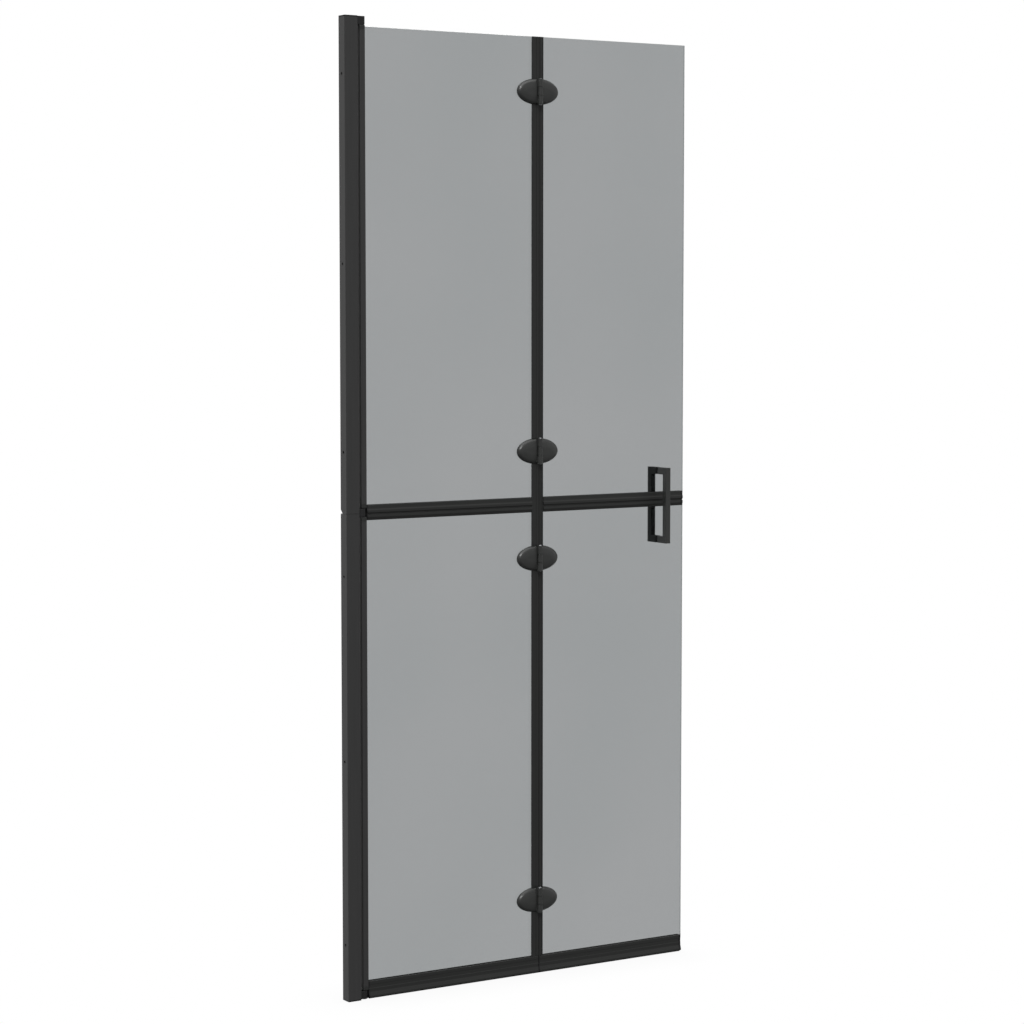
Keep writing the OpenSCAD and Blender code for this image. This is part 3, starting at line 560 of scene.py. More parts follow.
def prism(outline: Sequence[Point], axis: Axis, start: float, end: float, bevel: float = 0.0) -> Solid:
    """Pulls an outline along an axis, with a small round bevel at both ends.

    Args:
        outline: The section, in the two other axes in x, y, z order.
        axis: The direction it is pulled along.
        start: Where it starts.
        end: Where it ends.
        bevel: The size of the bevel at the ends, if any.

    Returns:
        The closed solid.
    """
    middle = QUARTER_ROUND * bevel
    stages = [(bevel, 0.0), (middle, middle), (0.0, bevel)] if bevel > 0 else [(0.0, 0.0)]
    levels = [(depth, start + along) for depth, along in stages]
    levels += [(depth, end - along) for depth, along in reversed(stages)]
    return bridged([[axis.place(a, b, level) for a, b in inset(outline, depth)] for depth, level in levels])


def lathed(profile: Sequence[Point], segments: int = 40, hollow: bool = False) -> Solid:
    """Turns a profile about the upright axis through the origin.

    Args:
        profile: The points of the profile as radius and height.
        segments: The number of steps round.
        hollow: Whether the profile is a closed one beside the axis.

    Returns:
        The closed solid.
    """
    turns = [2 * math.pi * k / segments for k in range(segments)]
    radii = [(max(radius, POLE), height) for radius, height in profile]
    rings = [[Vector((r * math.cos(t), r * math.sin(t), height)) for t in turns] for r, height in radii]
    return bridged(rings, closed=hollow)


def along_y(solid: Solid) -> Solid:
    """A copy whose upright axis lies along Y, with its top towards +Y."""
    return solid.changed(lambda p: Vector((-p.x, p.z, p.y)))


# Objects


def linked(name: str, mesh: bpy.types.Mesh) -> bpy.types.Object:
    """Puts a mesh in the scene.

    Args:
        name: The object's name.
        mesh: Its mesh.

    Returns:
        The object, at the origin.
    """
    made = bpy.data.objects.new(name, mesh)
    bpy.context.scene.collection.objects.link(made)
    return made


def drop(thing: bpy.types.Object) -> None:
    """Removes an object that only helped to make a piece, with its mesh.

    Args:
        thing: The object.
    """
    mesh = thing.data
    bpy.data.objects.remove(thing)
    bpy.data.meshes.remove(mesh)


def settle(thing: bpy.types.Object) -> None:
    """Turns what an object's modifiers make into its own plain mesh.

    Args:
        thing: The object.
    """
    graph = bpy.context.evaluated_depsgraph_get()
    made = bpy.data.meshes.new_from_object(
        thing.evaluated_get(graph), preserve_all_data_layers=True, depsgraph=graph
    )
    old = thing.data
    thing.modifiers.clear()
    thing.data = made
    made.name = thing.name
    bpy.data.meshes.remove(old)


def cut(thing: bpy.types.Object, cutter: Solid) -> None:
    """Cuts a solid out of an object.

    Args:
        thing: The object.
        cutter: What is cut out.
    """
    name = thing.name + "_cutter"
    tool = linked(name, cutter.mesh(name))
    change = thing.modifiers.new("cut", "BOOLEAN")
    change.operation = "DIFFERENCE"
    change.solver = "EXACT"
    change.use_self = True
    change.object = tool
    settle(thing)
    drop(tool)


def shade(thing: bpy.types.Object, sharp_deg: float = 38.0) -> None:
    """Shades an object smooth, with flats that stay flat next to their small bevels.

    Args:
        thing: The object.
        sharp_deg: The angle from which an edge stays sharp.
    """
    thing.data.shade_smooth()
    thing.data.set_sharp_from_angle(angle=math.radians(sharp_deg))
    even = thing.modifiers.new("even", "WEIGHTED_NORMAL")
    even.mode = "FACE_AREA"
    even.weight = 50
    even.keep_sharp = True
    settle(thing)


# What repeats, by geometry nodes


@dataclass(frozen=True)
class GeometryTree:
    """A geometry node tree with named inputs, which ends in real meshes of one finish."""

    name: str
    inputs: dict[str, str]

    def geometry(self, tree: bpy.types.NodeTree, given: bpy.types.Node) -> bpy.types.NodeSocket:
        """Adds the tree's own nodes and returns the output with its geometry."""
        raise NotImplementedError

    def group(self) -> bpy.types.NodeTree:
        """Gives the tree.

        Returns:
            The node group, which is built at its first use.
        """
        if self.name in bpy.data.node_groups:
            return bpy.data.node_groups[self.name]
        tree = bpy.data.node_groups.new(self.name, "GeometryNodeTree")
        tree.is_modifier = True
        for socket, kind in {**self.inputs, "Finish": "Material"}.items():
            tree.interface.new_socket(socket, in_out="INPUT", socket_type="NodeSocket" + kind)
        tree.interface.new_socket("Result", in_out="OUTPUT", socket_type="NodeSocketGeometry")
        given = add_node(tree, "NodeGroupInput")
        made = self.geometry(tree, given)
        real = add_node(tree, "GeometryNodeRealizeInstances", links={"Geometry": made})
        dressed = add_node(
            tree, "GeometryNodeSetMaterial",
            links={"Geometry": real.outputs["Geometry"], "Material": given.outputs["Finish"]},
        )
        add_node(tree, "NodeGroupOutput", links={"Result": dressed.outputs["Geometry"]})
        return tree

    def run(self, thing: bpy.types.Object, values: dict) -> None:
        """Runs the tree on an object and keeps its result as a plain mesh.

        Args:
            thing: The object whose mesh goes in.
            values: The named inputs and their values.
        """
        tree = self.group()
        change = thing.modifiers.new(tree.name, "NODES")
        change.node_group = tree
        sockets = {s.name: s.identifier for s in tree.interface.items_tree if s.in_out == "INPUT"}
        for name, value in values.items():
            change[sockets[name]] = value
        settle(thing)


class PartsOnPoints(GeometryTree):
    """Sets a part on each point of a mesh, turned over where the point's attribute says so."""

    def geometry(self, tree: bpy.types.NodeTree, given: bpy.types.Node) -> bpy.types.NodeSocket:
        """Adds the nodes that set out the part.

        Args:
            tree: The tree.
            given: Its group input.

        Returns:
            The output with the instances.
        """
        part = add_node(tree, "GeometryNodeObjectInfo", links={"Object": given.outputs["Part"]})
        turned = add_node(
            tree, "GeometryNodeInputNamedAttribute", {"data_type": "FLOAT", "Name": TURNED}
        )
        angle = add_node(
            tree, "ShaderNodeMath", {"operation": "MULTIPLY"},
            {0: given.outputs["Turn"], 1: turned.outputs["Attribute"]},
        )
        about_y = add_node(tree, "ShaderNodeCombineXYZ", links={"Y": angle.outputs["Value"]})
        points = add_node(tree, "GeometryNodeMeshToPoints", links={"Mesh": given.outputs["Points"]})
        parts = add_node(
            tree, "GeometryNodeInstanceOnPoints",
            links={
                "Points": points.outputs["Points"],
                "Instance": part.outputs["Geometry"],
                "Rotation": about_y.outputs["Vector"],
            },
        )
        return parts.outputs["Instances"]


class StripFromSection(GeometryTree):
    """Pulls a flat section into a closed strip."""

    def geometry(self, tree: bpy.types.NodeTree, given: bpy.types.Node) -> bpy.types.NodeSocket:
        """Adds the nodes that pull the section.

        Args:
            tree: The tree.
            given: Its group input.

        Returns:
            The output with the strip.
        """
        pulled = add_node(
            tree, "GeometryNodeExtrudeMesh", {"mode": "FACES", "Individual": False},
            {
                "Mesh": given.outputs["Section"],
                "Offset": given.outputs["Direction"],
                "Offset Scale": given.outputs["Length"],
            },
        )
        start = add_node(tree, "GeometryNodeFlipFaces", links={"Mesh": given.outputs["Section"]})
        whole = add_node(tree, "GeometryNodeJoinGeometry")
        for shell in (pulled, start):
            tree.links.new(shell.outputs["Mesh"], whole.inputs["Geometry"])
        merged = add_node(
            tree, "GeometryNodeMergeByDistance", {"Distance": TINY},
            {"Geometry": whole.outputs["Geometry"]},
        )
        return merged.outputs["Geometry"]


PARTS_ON_POINTS = PartsOnPoints(
    "parts_on_points", {"Points": "Geometry", "Part": "Object", "Turn": "Float"}
)
STRIP_FROM_SECTION = StripFromSection(
    "strip_from_section", {"Section": "Geometry", "Direction": "Vector", "Length": "Float"}
)


# Pieces


@dataclass(frozen=True)
class Piece:
    """A visible piece: its name, its finish, the body it rides on and the CAD nodes it stands for."""

    name: str
    finish: Finish
    body: Body
    nodes: Sequence[str]

    def hand_over(self, made: bpy.types.Object) -> None:
        """Gives the piece's object its material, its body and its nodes.

        Args:
            made: The object, with its place in its mesh.
        """
        made.data.materials.clear()
        made.data.materials.append(self.finish.material())
        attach(made, self.body.value)
        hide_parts(*self.nodes)
        faces = len(made.data.polygons)
        log.info("%s: %d faces, %s, rides on %s", self.name, faces, self.finish.name, self.body.value)

    def shape(self, solid: Solid, cutter: Solid | None = None) -> None:
        """Makes the piece from a solid.

        Args:
            solid: Its shape.
            cutter: What is cut out of it.
        """
        made = linked(self.name, solid.mesh(self.name))
        if cutter is not None:
            cut(made, cutter)
        shade(made)
        self.hand_over(made)

    def set_out(
        self, part: Solid, places: Sequence[Vector], cutter: Solid | None = None,
        upside_down: Iterable[int] = (),
    ) -> None:
        """Makes the piece from equal parts, which geometry nodes set on their places.

        Args:
            part: One part, at the origin.
            places: Where its copies go, in millimetres.
            cutter: What is cut out of the part.
            upside_down: The places, by number, where it is turned over about the y axis.
        """
        name = self.name + "_one"
        master = linked(name, part.mesh(name))
        if cutter is not None:
            cut(master, cutter)
        shade(master)
        points = bpy.data.meshes.new(self.name)
        points.from_pydata([p * MM for p in places], [], [])
        turned = points.attributes.new(TURNED, "FLOAT", "POINT")
        for k in upside_down:
            turned.data[k].value = 1.0
        made = linked(self.name, points)
        PARTS_ON_POINTS.run(made, {"Part": master, "Turn": math.pi, "Finish": self.finish.material()})
        drop(master)
        self.hand_over(made)

    def pull(self, sections: Sequence[tuple[Sequence[Point], Axis, float, float]]) -> None:
        """Makes the piece from strips, which geometry nodes pull from their sections.

        Args:
            sections: For each strip its outline, its axis, its start and its end.
        """
        whole = bmesh.new()
        for k, (outline, axis, start, end) in enumerate(sections):
            flat = bpy.data.meshes.new(f"{self.name}_section_{k}")
            corners = [axis.place(a, b, start) * MM for a, b in outline]
            flat.from_pydata(corners, [], [tuple(range(len(outline)))])
            way = axis.place(0.0, 0.0, 1.0)
            if flat.polygons[0].normal.dot(way) < 0:
                flat.flip_normals()
            strip = linked(f"{self.name}_{k}", flat)
            STRIP_FROM_SECTION.run(
                strip,
                {"Direction": way, "Length": (end - start) * MM, "Finish": self.finish.material()},
            )
            whole.from_mesh(strip.data)
            drop(strip)
        bmesh.ops.recalc_face_normals(whole, faces=whole.faces)
        mesh = bpy.data.meshes.new(self.name)
        whole.to_mesh(mesh)
        whole.free()
        made = linked(self.name, mesh)
        shade(made)
        self.hand_over(made)


# The sub-assemblies


@dataclass(frozen=True)
class Layout:
    """The sizes that several sub-assemblies share, as in the part's source."""

    width: float = 800.0
    height: float = 1900.0
    fold_x: float = 440.0
    pivot_x: float = 39.7
    mid_z: float = 952.5
    glass_half: float = 3.0
    glass_top: float = 1881.0
    pane_left: float = 44.4
    pane_bottom: float = 26.4
    pane_gap: float = 9.0
    pane_seam_gap: float = 1.9
    rail_left: float = 47.8
    rail_gap: float = 0.3
    post_cap: float = 2.0
    free_cap: float = 6.0
    seam_inner: float = 442.6
    seam_outer: float = 443.4
    stile_inner: float = 426.5
    stile_back: float = 432.5
    stile_outer: float = 453.0
    cap_right: float = 797.0
    slot_half: float = 3.2
    glaze_half: float = 4.0
    glaze_floor: float = 1.0
    hinge_heights: tuple[float, ...] = (151.0, 845.0, 1060.0, 1773.0)
    hinge_screw_x: float = 27.0
    hinge_screw_z: float = 10.0
    handle_x: float = 741.0
    handle_stud_heights: tuple[float, ...] = (869.2, 1010.8)
    seat_y: float = 3.8
    profile_width: float = 28.0
    profile_half: float = 12.5
    profile_corner: float = 1.6
    post_ends: tuple[float, float, float, float] = (24.9, 935.6, 969.4, 1875.1)
    cap: float = 2.4
    block_grip: float = 32.0
    ear_height: float = 16.0
    stile_half: float = 6.0


@dataclass
class WallProfile:
    """The channel on the wall, in two lengths, with its wall holes and the screws of what sits in it."""

    layout: Layout
    wall: float = 1.6
    lip_round: float = 0.5
    rib: float = 1.0
    rib_inset: float = 7.0
    joint_z: float = 951.5
    seam: float = 0.4
    cap_gap: float = 0.1
    notch_h: float = 9.0
    notch_d: float = 8.5
    screw_heights: tuple[float, ...] = (110.0, 470.0, 830.0)
    hole_radius: float = 2.75
    block_screw_x: float = 14.0
    socket_radius: float = 1.25
    socket_depth: float = 1.2
    block_screw_heights: tuple[float, ...] = (22.4, 933.3, 971.7, 1877.6)
    set_screw_x: float = 1.7
    set_screw_heights: tuple[float, ...] = (905.14, 927.1, 975.9, 997.86)

    def section(self) -> list[Point]:
        """Draws the channel, open towards the screen, with two small ribs inside.

        Returns:
            The section in x and y, from its back wall corner.
        """
        outer, corner, wall = self.layout.profile_half, self.layout.profile_corner, self.wall
        inner, mouth = outer - wall, self.layout.profile_width
        rib_right = mouth - self.rib_inset
        rib_left, rib_top = rib_right - self.rib, self.rib - inner
        half = [
            (mouth, -outer), (mouth, -inner), (rib_right, -inner), (rib_right, rib_top),
            (rib_left, rib_top), (rib_left, -inner), (wall, -inner),
        ]
        radii = [self.lip_round, 0.3, 0.2, 0.2, 0.2, 0.2, 0.3]
        corners = [(0.0, outer), (0.0, -outer), *half, *((x, -y) for x, y in reversed(half))]
        return rounded(corners, [corner, corner, *radii, *reversed(radii)], 4)

    def holes(self, heights: Iterable[float]) -> Solid:
        """The cutter for the wall screws' holes."""
        drills = [polygon((0.0, z), self.hole_radius, 24) for z in heights]
        return Solid().add(*(prism(drill, Axis.X, -2 * OVER, self.wall + 2 * OVER) for drill in drills))

    def countersinks(self, heights: Iterable[float]) -> Solid:
        """The cutter for the countersunk holes of the side screws."""
        sink = along_y(lathed([(2.1, -4.0), (2.1, -self.wall), (3.78, 0.0), (3.78, OVER)], 28))
        return Solid().add(*(sink.moved(self.block_screw_x, self.layout.profile_half, z) for z in heights))

    def notch(self) -> Solid:
        """Draws the relief above the seam, at the back corner of the wall side.

        Returns:
            The cutter.
        """
        y, z = self.layout.profile_half, self.joint_z - OVER
        outline = [(y - self.notch_d, z), (y + OVER, z), (y + OVER, z + self.notch_h + OVER)]
        outline += [(y, z + self.notch_h + OVER), (y - self.notch_d, z + OVER)]
        return prism(outline, Axis.X, -OVER, self.wall + 4 * OVER)

    def lengths(self) -> None:
        """Builds both lengths of the profile."""
        cap = self.layout.cap + self.cap_gap
        upper_holes = [self.layout.height - z for z in self.screw_heights]
        low_sinks, high_sinks = self.block_screw_heights[:2], self.block_screw_heights[2:]
        runs = {
            "upper": (
                self.joint_z + self.seam / 2, self.layout.height - cap,
                self.holes(upper_holes).add(self.countersinks(high_sinks), self.notch()),
            ),
            "lower": (
                cap, self.joint_z - self.seam / 2,
                self.holes(self.screw_heights).add(self.countersinks(low_sinks)),
            ),
        }
        for word, (low, high, cutter) in runs.items():
            piece = Piece(f"wall_profile_{word}_length", COAT_UPRIGHT, Body.WALL, [f"wall_profile_{word}"])
            piece.shape(prism(self.section(), Axis.Z, low, high, bevel=0.25), cutter)

    def screws(self) -> None:
        """Builds the blocks' side screws and the joiner's set screws."""
        socket = prism(polygon((0.0, 0.0), self.socket_radius, 6), Axis.Y, -self.socket_depth, OVER)
        screw = along_y(lathed([(2.0, -13.0), (2.0, -1.6), (3.5, -0.15), (3.4, 0.0)], 28))
        y = self.layout.profile_half
        Piece("block_side_screws", STEEL, Body.WALL, ["profile_screws"]).set_out(
            screw, [Vector((self.block_screw_x, y, z)) for z in self.block_screw_heights], socket
        )
        grub = lathed([(2.3, 0.0), (2.5, 0.2), (2.5, 3.8), (2.3, 4.0)], 24)
        Piece("joiner_set_screws", STEEL, Body.WALL, ["profile_screws"]).set_out(
            grub.changed(lambda p: Vector((p.z, p.y, -p.x))),
            [Vector((self.set_screw_x, 0.0, z)) for z in self.set_screw_heights],
        )

    def build(self) -> None:
        """Builds the profile and its screws."""
        self.lengths()
        self.screws()


@dataclass
class PivotBlocks:
    """The three moulded blocks whose ears carry the pivot pins."""

    layout: Layout
    ear_radius: float = 7.8
    neck_half: float = 5.5
    insert_half: float = 9.7
    insert_left: float = 1.7
    middle_left: float = 5.8
    root: float = 1.0
    overlap: float = 0.2
    pin_bore: float = 2.05
    lug_right: float = 47.2
    lug_half: float = 7.0

    def ear(self, low: float, high: float) -> Solid:
        """Draws an ear: a neck from the channel and a round end on the pivot axis.

        Args:
            low: Its lower end.
            high: Its upper end.

        Returns:
            The ear.
        """
        start = math.degrees(math.asin(self.neck_half / self.ear_radius))
        left = self.layout.profile_width - self.root
        round_end = arc((self.layout.pivot_x, 0.0), self.ear_radius, -180 + start, 180 - start, 30)
        outline = [(left, -self.neck_half), *round_end, (left, self.neck_half)]
        return prism(outline, Axis.Z, low, high, bevel=0.9)

    def lug(self, low: float, high: float) -> Solid:
        """The top block's ear, as wide as the post that it stands over."""
        corners = rectangle(
            self.layout.profile_width - self.root, -self.lug_half, self.lug_right, self.lug_half
        )
        return prism(rounded(corners, [0.0, 1.6, 1.6, 0.0], 4), Axis.Z, low, high, bevel=0.6)

    def insert(self, left: float, low: float, high: float) -> Solid:
        """The part of a block that sits in the channel."""
        half, right = self.insert_half, self.layout.profile_width - self.overlap
        return prism(rounded(rectangle(left, -half, right, half), 0.6), Axis.Z, low, high, bevel=0.4)

    def end_cap(self, low: float) -> Solid:
        """Draws the flat plate that closes an end of the profile.

        Args:
            low: Its underside.

        Returns:
            The plate.
        """
        lay = self.layout
        corners = rectangle(0.0, -lay.profile_half, lay.profile_width, lay.profile_half)
        outline = rounded(corners, [lay.profile_corner, 1.0, 1.0, lay.profile_corner], 4)
        return prism(outline, Axis.Z, low, low + lay.cap, bevel=0.5)

    def bore(self, low: float, high: float) -> Solid:
        """The cutter for the pivot pin's hole."""
        return prism(polygon((self.layout.pivot_x, 0.0), self.pin_bore, 24), Axis.Z, low, high)

    def build(self) -> None:
        """Builds the blocks."""
        top, mid = self.layout.height, self.layout.mid_z
        ear, cap, grip = self.layout.ear_height, self.layout.cap, self.layout.block_grip
        blocks = {
            "top": (
                self.insert(self.insert_left, top - grip, top - cap + self.overlap),
                (self.lug(top - ear, top), self.end_cap(top - cap)),
                self.bore(top - ear - OVER, top - cap),
            ),
            "middle": (
                self.insert(self.middle_left, mid - grip, mid + grip),
                (self.ear(mid - ear / 2, mid + ear / 2),),
                self.bore(mid - ear, mid + ear),
            ),
            "bottom": (
                self.insert(self.insert_left, cap - self.overlap, grip),
                (self.ear(0.0, ear), self.end_cap(0.0)),
                self.bore(cap, ear + OVER),
            ),
        }
        for word, (insert, others, bore) in blocks.items():
            piece = Piece(f"{word}_block", PLASTIC, Body.WALL, [f"{word}_pivot_block"])
            piece.shape(insert.add(*others), bore)


@dataclass
class HingePost:
    """The post that turns on the pivot pins, in two lengths, with the channel for the glass.

    Each end wears a turned collar in the post's own outline, through which the pivot pin goes.
    """

    layout: Layout
    left: float = 35.5
    right: float = 47.5
    half_depth: float = 7.0
    edge: float = 1.1
    lip: float = 0.25
    bore: float = 3.0
    channel_left: float = 43.4
    collar_height: float = 8.5
    collar_bore: float = 2.05

    def section(self) -> list[Point]:
        """Draws the post, with round edges and the glazing channel.

        Returns:
            The section in x and y.
        """
        h, g, e, lip = self.half_depth, self.layout.glaze_half, self.edge, self.lip
        corners = [
            (self.left, h), (self.left, -h), (self.right, -h), (self.right, -g),
            (self.channel_left, -g), (self.channel_left, g), (self.right, g), (self.right, h),
        ]
        return rounded(corners, [e, e, e, lip, lip, lip, lip, e], 4)

    def collar(self, way: float) -> Solid:
        """Draws an end collar, drawn in by a round edge at its free end.

        Args:
            way: Its way from the origin, 1 for up and -1 for down.

        Returns:
            The collar, without its hole.
        """
        h = self.collar_height
        stages = [
            (0.35, 0.0), (0.0, 0.35), (0.0, h - 2.2), (0.1, h - 1.5), (0.35, h - 0.75), (0.6, h - 0.3),
            (0.95, h),
        ]
        lines = [(inset(self.section(), depth), way * along) for depth, along in stages]
        return bridged([[Axis.Z.place(a, b, level) for a, b in line] for line, level in lines])

    def build(self) -> None:
        """Builds both lengths of the post and their collars."""
        z, axis = self.layout.post_ends, (self.layout.pivot_x, 0.0)
        bore = polygon(axis, self.bore, 24)
        for word, low, high in (("lower", z[0], z[1]), ("upper", z[2], z[3])):
            piece = Piece(f"post_{word}_length", COAT_UPRIGHT, Body.INNER, [f"hinge_post_{word}"])
            drill = prism(bore, Axis.Z, low - OVER, high + OVER)
            piece.shape(prism(self.section(), Axis.Z, low, high, bevel=0.3), drill)
        reach = self.collar_height + OVER
        pin_hole = prism(polygon(axis, self.collar_bore, 24), Axis.Z, -reach, reach)
        for word, way, ends in (("up", 1.0, z[1::2]), ("down", -1.0, z[0::2])):
            piece = Piece(f"collars_facing_{word}", ACETAL, Body.INNER, ["pivot_bushes"])
            piece.set_out(self.collar(way), [Vector((0.0, 0.0, end)) for end in ends], pin_hole)


@dataclass
class Panes:
    """The four panes of smoked glass, with ground and polished edges and drilled holes.

    Each hole grips its nylon sleeve with no gap, so that no mirror ring shows in the glass.
    """

    layout: Layout
    arris: float = 0.7
    hole_radius: float = 4.85

    def pane(self, left: float, right: float, low: float, high: float) -> Solid:
        """Draws one pane.

        Args:
            left: Its left edge.
            right: Its right edge.
            low: Its lower edge.
            high: Its upper edge.

        Returns:
            The pane, without its holes.
        """
        half, a = self.layout.glass_half, self.arris
        outline = [
            (left, a - half), (left + a, -half), (right - a, -half), (right, a - half),
            (right, half - a), (right - a, half), (left + a, half), (left, half - a),
        ]
        return prism(outline, Axis.Z, low, high, bevel=a)

    def holes(self, side: Side, low: float, high: float) -> Solid:
        """Draws the holes of a pane, for the hinge screws and the handle.

        Args:
            side: The pane's leaf.
            low: Its lower edge.
            high: Its upper edge.

        Returns:
            The cutter.
        """
        lay = self.layout
        x = lay.fold_x + side.value * lay.hinge_screw_x
        spots = [(x, z + up) for z in lay.hinge_heights for up in (-lay.hinge_screw_z, lay.hinge_screw_z)]
        if side is Side.OUTER:
            spots += [(lay.handle_x, z) for z in lay.handle_stud_heights]
        drills = [polygon(spot, self.hole_radius, 36) for spot in spots if low < spot[1] < high]
        reach = lay.glass_half + OVER
        return Solid().add(*(prism(drill, Axis.Y, -reach, reach) for drill in drills))

    def build(self) -> None:
        """Builds the panes of both leaves."""
        lay = self.layout
        spans = {
            Side.INNER: (lay.pane_left, lay.seam_inner - lay.pane_seam_gap),
            Side.OUTER: (lay.seam_outer + lay.pane_seam_gap, lay.width),
        }
        heights = {
            "lower": (lay.pane_bottom, lay.mid_z - lay.pane_gap),
            "upper": (lay.mid_z + lay.pane_gap, lay.glass_top),
        }
        for side, across in spans.items():
            for word, up in heights.items():
                piece = Piece(f"{word}_{side.word}_pane", GLASS, side.body, [f"glass_{word}_{side.word}"])
                piece.shape(self.pane(*across, *up), self.holes(side, *up))


@dataclass
class Rails:
    """The middle and bottom rails of both leaves, with their end caps."""

    layout: Layout
    mid_half: float = 15.0
    bead: float = 8.0
    face: float = 6.8
    foot_h: float = 34.4
    foot: float = 9.0
    lip: float = 1.6
    groove_half: float = 2.1
    groove_top: float = 6.5
    fold_cap: float = 1.5
    cap_floor: float = 0.1
    cap_setback: float = 3.0
    step_reach: float = 20.0
    edge: float = 0.45

    @staticmethod
    def channel(low: float, high: float, half: float) -> list[Point]:
        """The corners of a glazing channel that is cut down from the top of a section to low."""
        return [(-half, high), (-half, low), (half, low), (half, high)]

    def mid_section(self, floor_gap: float, half: float) -> list[Point]:
        """Draws the middle rail, with a channel above and one below.

        Args:
            floor_gap: The room between a pane's edge and the floor of its channel.
            half: Half the width of a channel.

        Returns:
            The section in y and z.
        """
        f, b, h = self.face, self.bead, self.mid_half
        flank = [
            (f - 1.0, h), (f, h - 0.8), (f, 0.47 * h), (b - 0.2, 0.32 * h), (b, 0.26 * h), (b, 0.0),
            (b - 0.4, -0.04 * h), (f - 1.3, -0.08 * h), (f - 1.3, -0.22 * h), (b - 0.4, -0.29 * h),
            (b - 0.2, -0.6 * h), (f, -0.74 * h), (f - 0.9, 1.0 - h), (f - 1.7, -h),
        ]
        gap = self.layout.pane_gap - floor_gap
        below = [(half, -h), (half, -gap), (-half, -gap), (-half, -h)]
        outline = flank + below + mirrored(flank) + self.channel(gap, h, half)
        return [(a, z + self.layout.mid_z) for a, z in rounded(outline, self.edge, 2)]

    def foot_section(self, floor_gap: float, half: float, slotted: bool = True) -> list[Point]:
        """Draws the bottom rail, with the channel above and the wiper's groove below.

        Args:
            floor_gap: The room between the pane's edge and the floor of its channel.
            half: Half the width of the channel.
            slotted: Whether it has the channel.

        Returns:
            The section in y and z.
        """
        f, w, h, lip = self.face, self.foot, self.foot_h, self.lip
        flank = [
            (f - 1.0, h), (f, h - 0.8), (f, 0.8 * h), (f - 0.4, 0.78 * h), (f - 0.4, 0.58 * h),
            (f, 0.56 * h), (f, 0.37 * h), (w, 0.16 * h), (w, lip + 1.1), (w - 0.9, lip),
            (self.groove_half, lip), (self.groove_half, self.groove_top),
        ]
        outline = flank + mirrored(flank)
        if slotted:
            outline += self.channel(self.layout.pane_bottom - floor_gap, h, half)
        return rounded(outline, self.edge, 2)

    def rails(self) -> None:
        """Builds the middle and bottom rail of each leaf. The inner middle rail is stepped at the fold."""
        lay = self.layout
        mid = self.mid_section(lay.glaze_floor, lay.glaze_half)
        foot = self.foot_section(lay.glaze_floor, lay.glaze_half)
        start, step_x = lay.rail_left + lay.post_cap, lay.stile_inner - lay.rail_gap
        reach, end = lay.stile_back - lay.rail_gap, lay.cap_right - lay.free_cap
        far = self.step_reach
        back = rectangle(-far, lay.mid_z - far, 0.0, lay.mid_z + far)
        step = prism(back, Axis.X, step_x, reach + 5 * OVER)
        runs = {
            Side.INNER: ((start, reach), (start, lay.seam_inner - self.fold_cap), step),
            Side.OUTER: ((lay.stile_outer + lay.rail_gap, end), (lay.seam_outer + self.fold_cap, end), None),
        }
        for side, (mid_ends, foot_ends, cutter) in runs.items():
            middle = Piece(f"middle_rail_{side.word}_leaf", COAT_LEVEL, side.body, [f"mid_rail_{side.word}"])
            middle.shape(prism(mid, Axis.X, *mid_ends, bevel=0.2), cutter)
            bottom = Piece(
                f"bottom_rail_{side.word}_leaf", COAT_LEVEL, side.body, [f"bottom_rail_{side.word}"]
            )
            bottom.shape(prism(foot, Axis.X, *foot_ends, bevel=0.2))

    def caps(self) -> None:
        """Builds the end caps of each leaf. The outer bottom cap is set back in its lower half."""
        lay = self.layout
        left, right = lay.rail_left, lay.cap_right
        mid = self.mid_section(self.cap_floor, lay.slot_half)
        foot = self.foot_section(self.cap_floor, lay.slot_half)
        blind = self.foot_section(self.cap_floor, lay.slot_half, slotted=False)
        notch = rectangle(-12.0, -1.0, 12.0, 0.47 * self.foot_h)
        runs = {
            Side.INNER: (
                (left, left + lay.post_cap, 0.4), (lay.seam_inner - self.fold_cap, lay.seam_inner), None
            ),
            Side.OUTER: (
                (right - lay.free_cap, right, 0.7), (lay.seam_outer, lay.seam_outer + self.fold_cap),
                prism(notch, Axis.X, right - self.cap_setback, right + OVER),
            ),
        }
        for side, (ends, fold_ends, cutter) in runs.items():
            solid = prism(mid, Axis.X, *ends)
            solid.add(prism(foot, Axis.X, *ends), prism(blind, Axis.X, *fold_ends, bevel=0.3))
            piece = Piece(f"end_caps_{side.word}_leaf", PLASTIC, side.body, [f"rail_caps_{side.word}"])
            piece.shape(solid, cutter)

    def build(self) -> None:
        """Builds the rails and their caps for both leaves."""
        self.rails()
        self.caps()


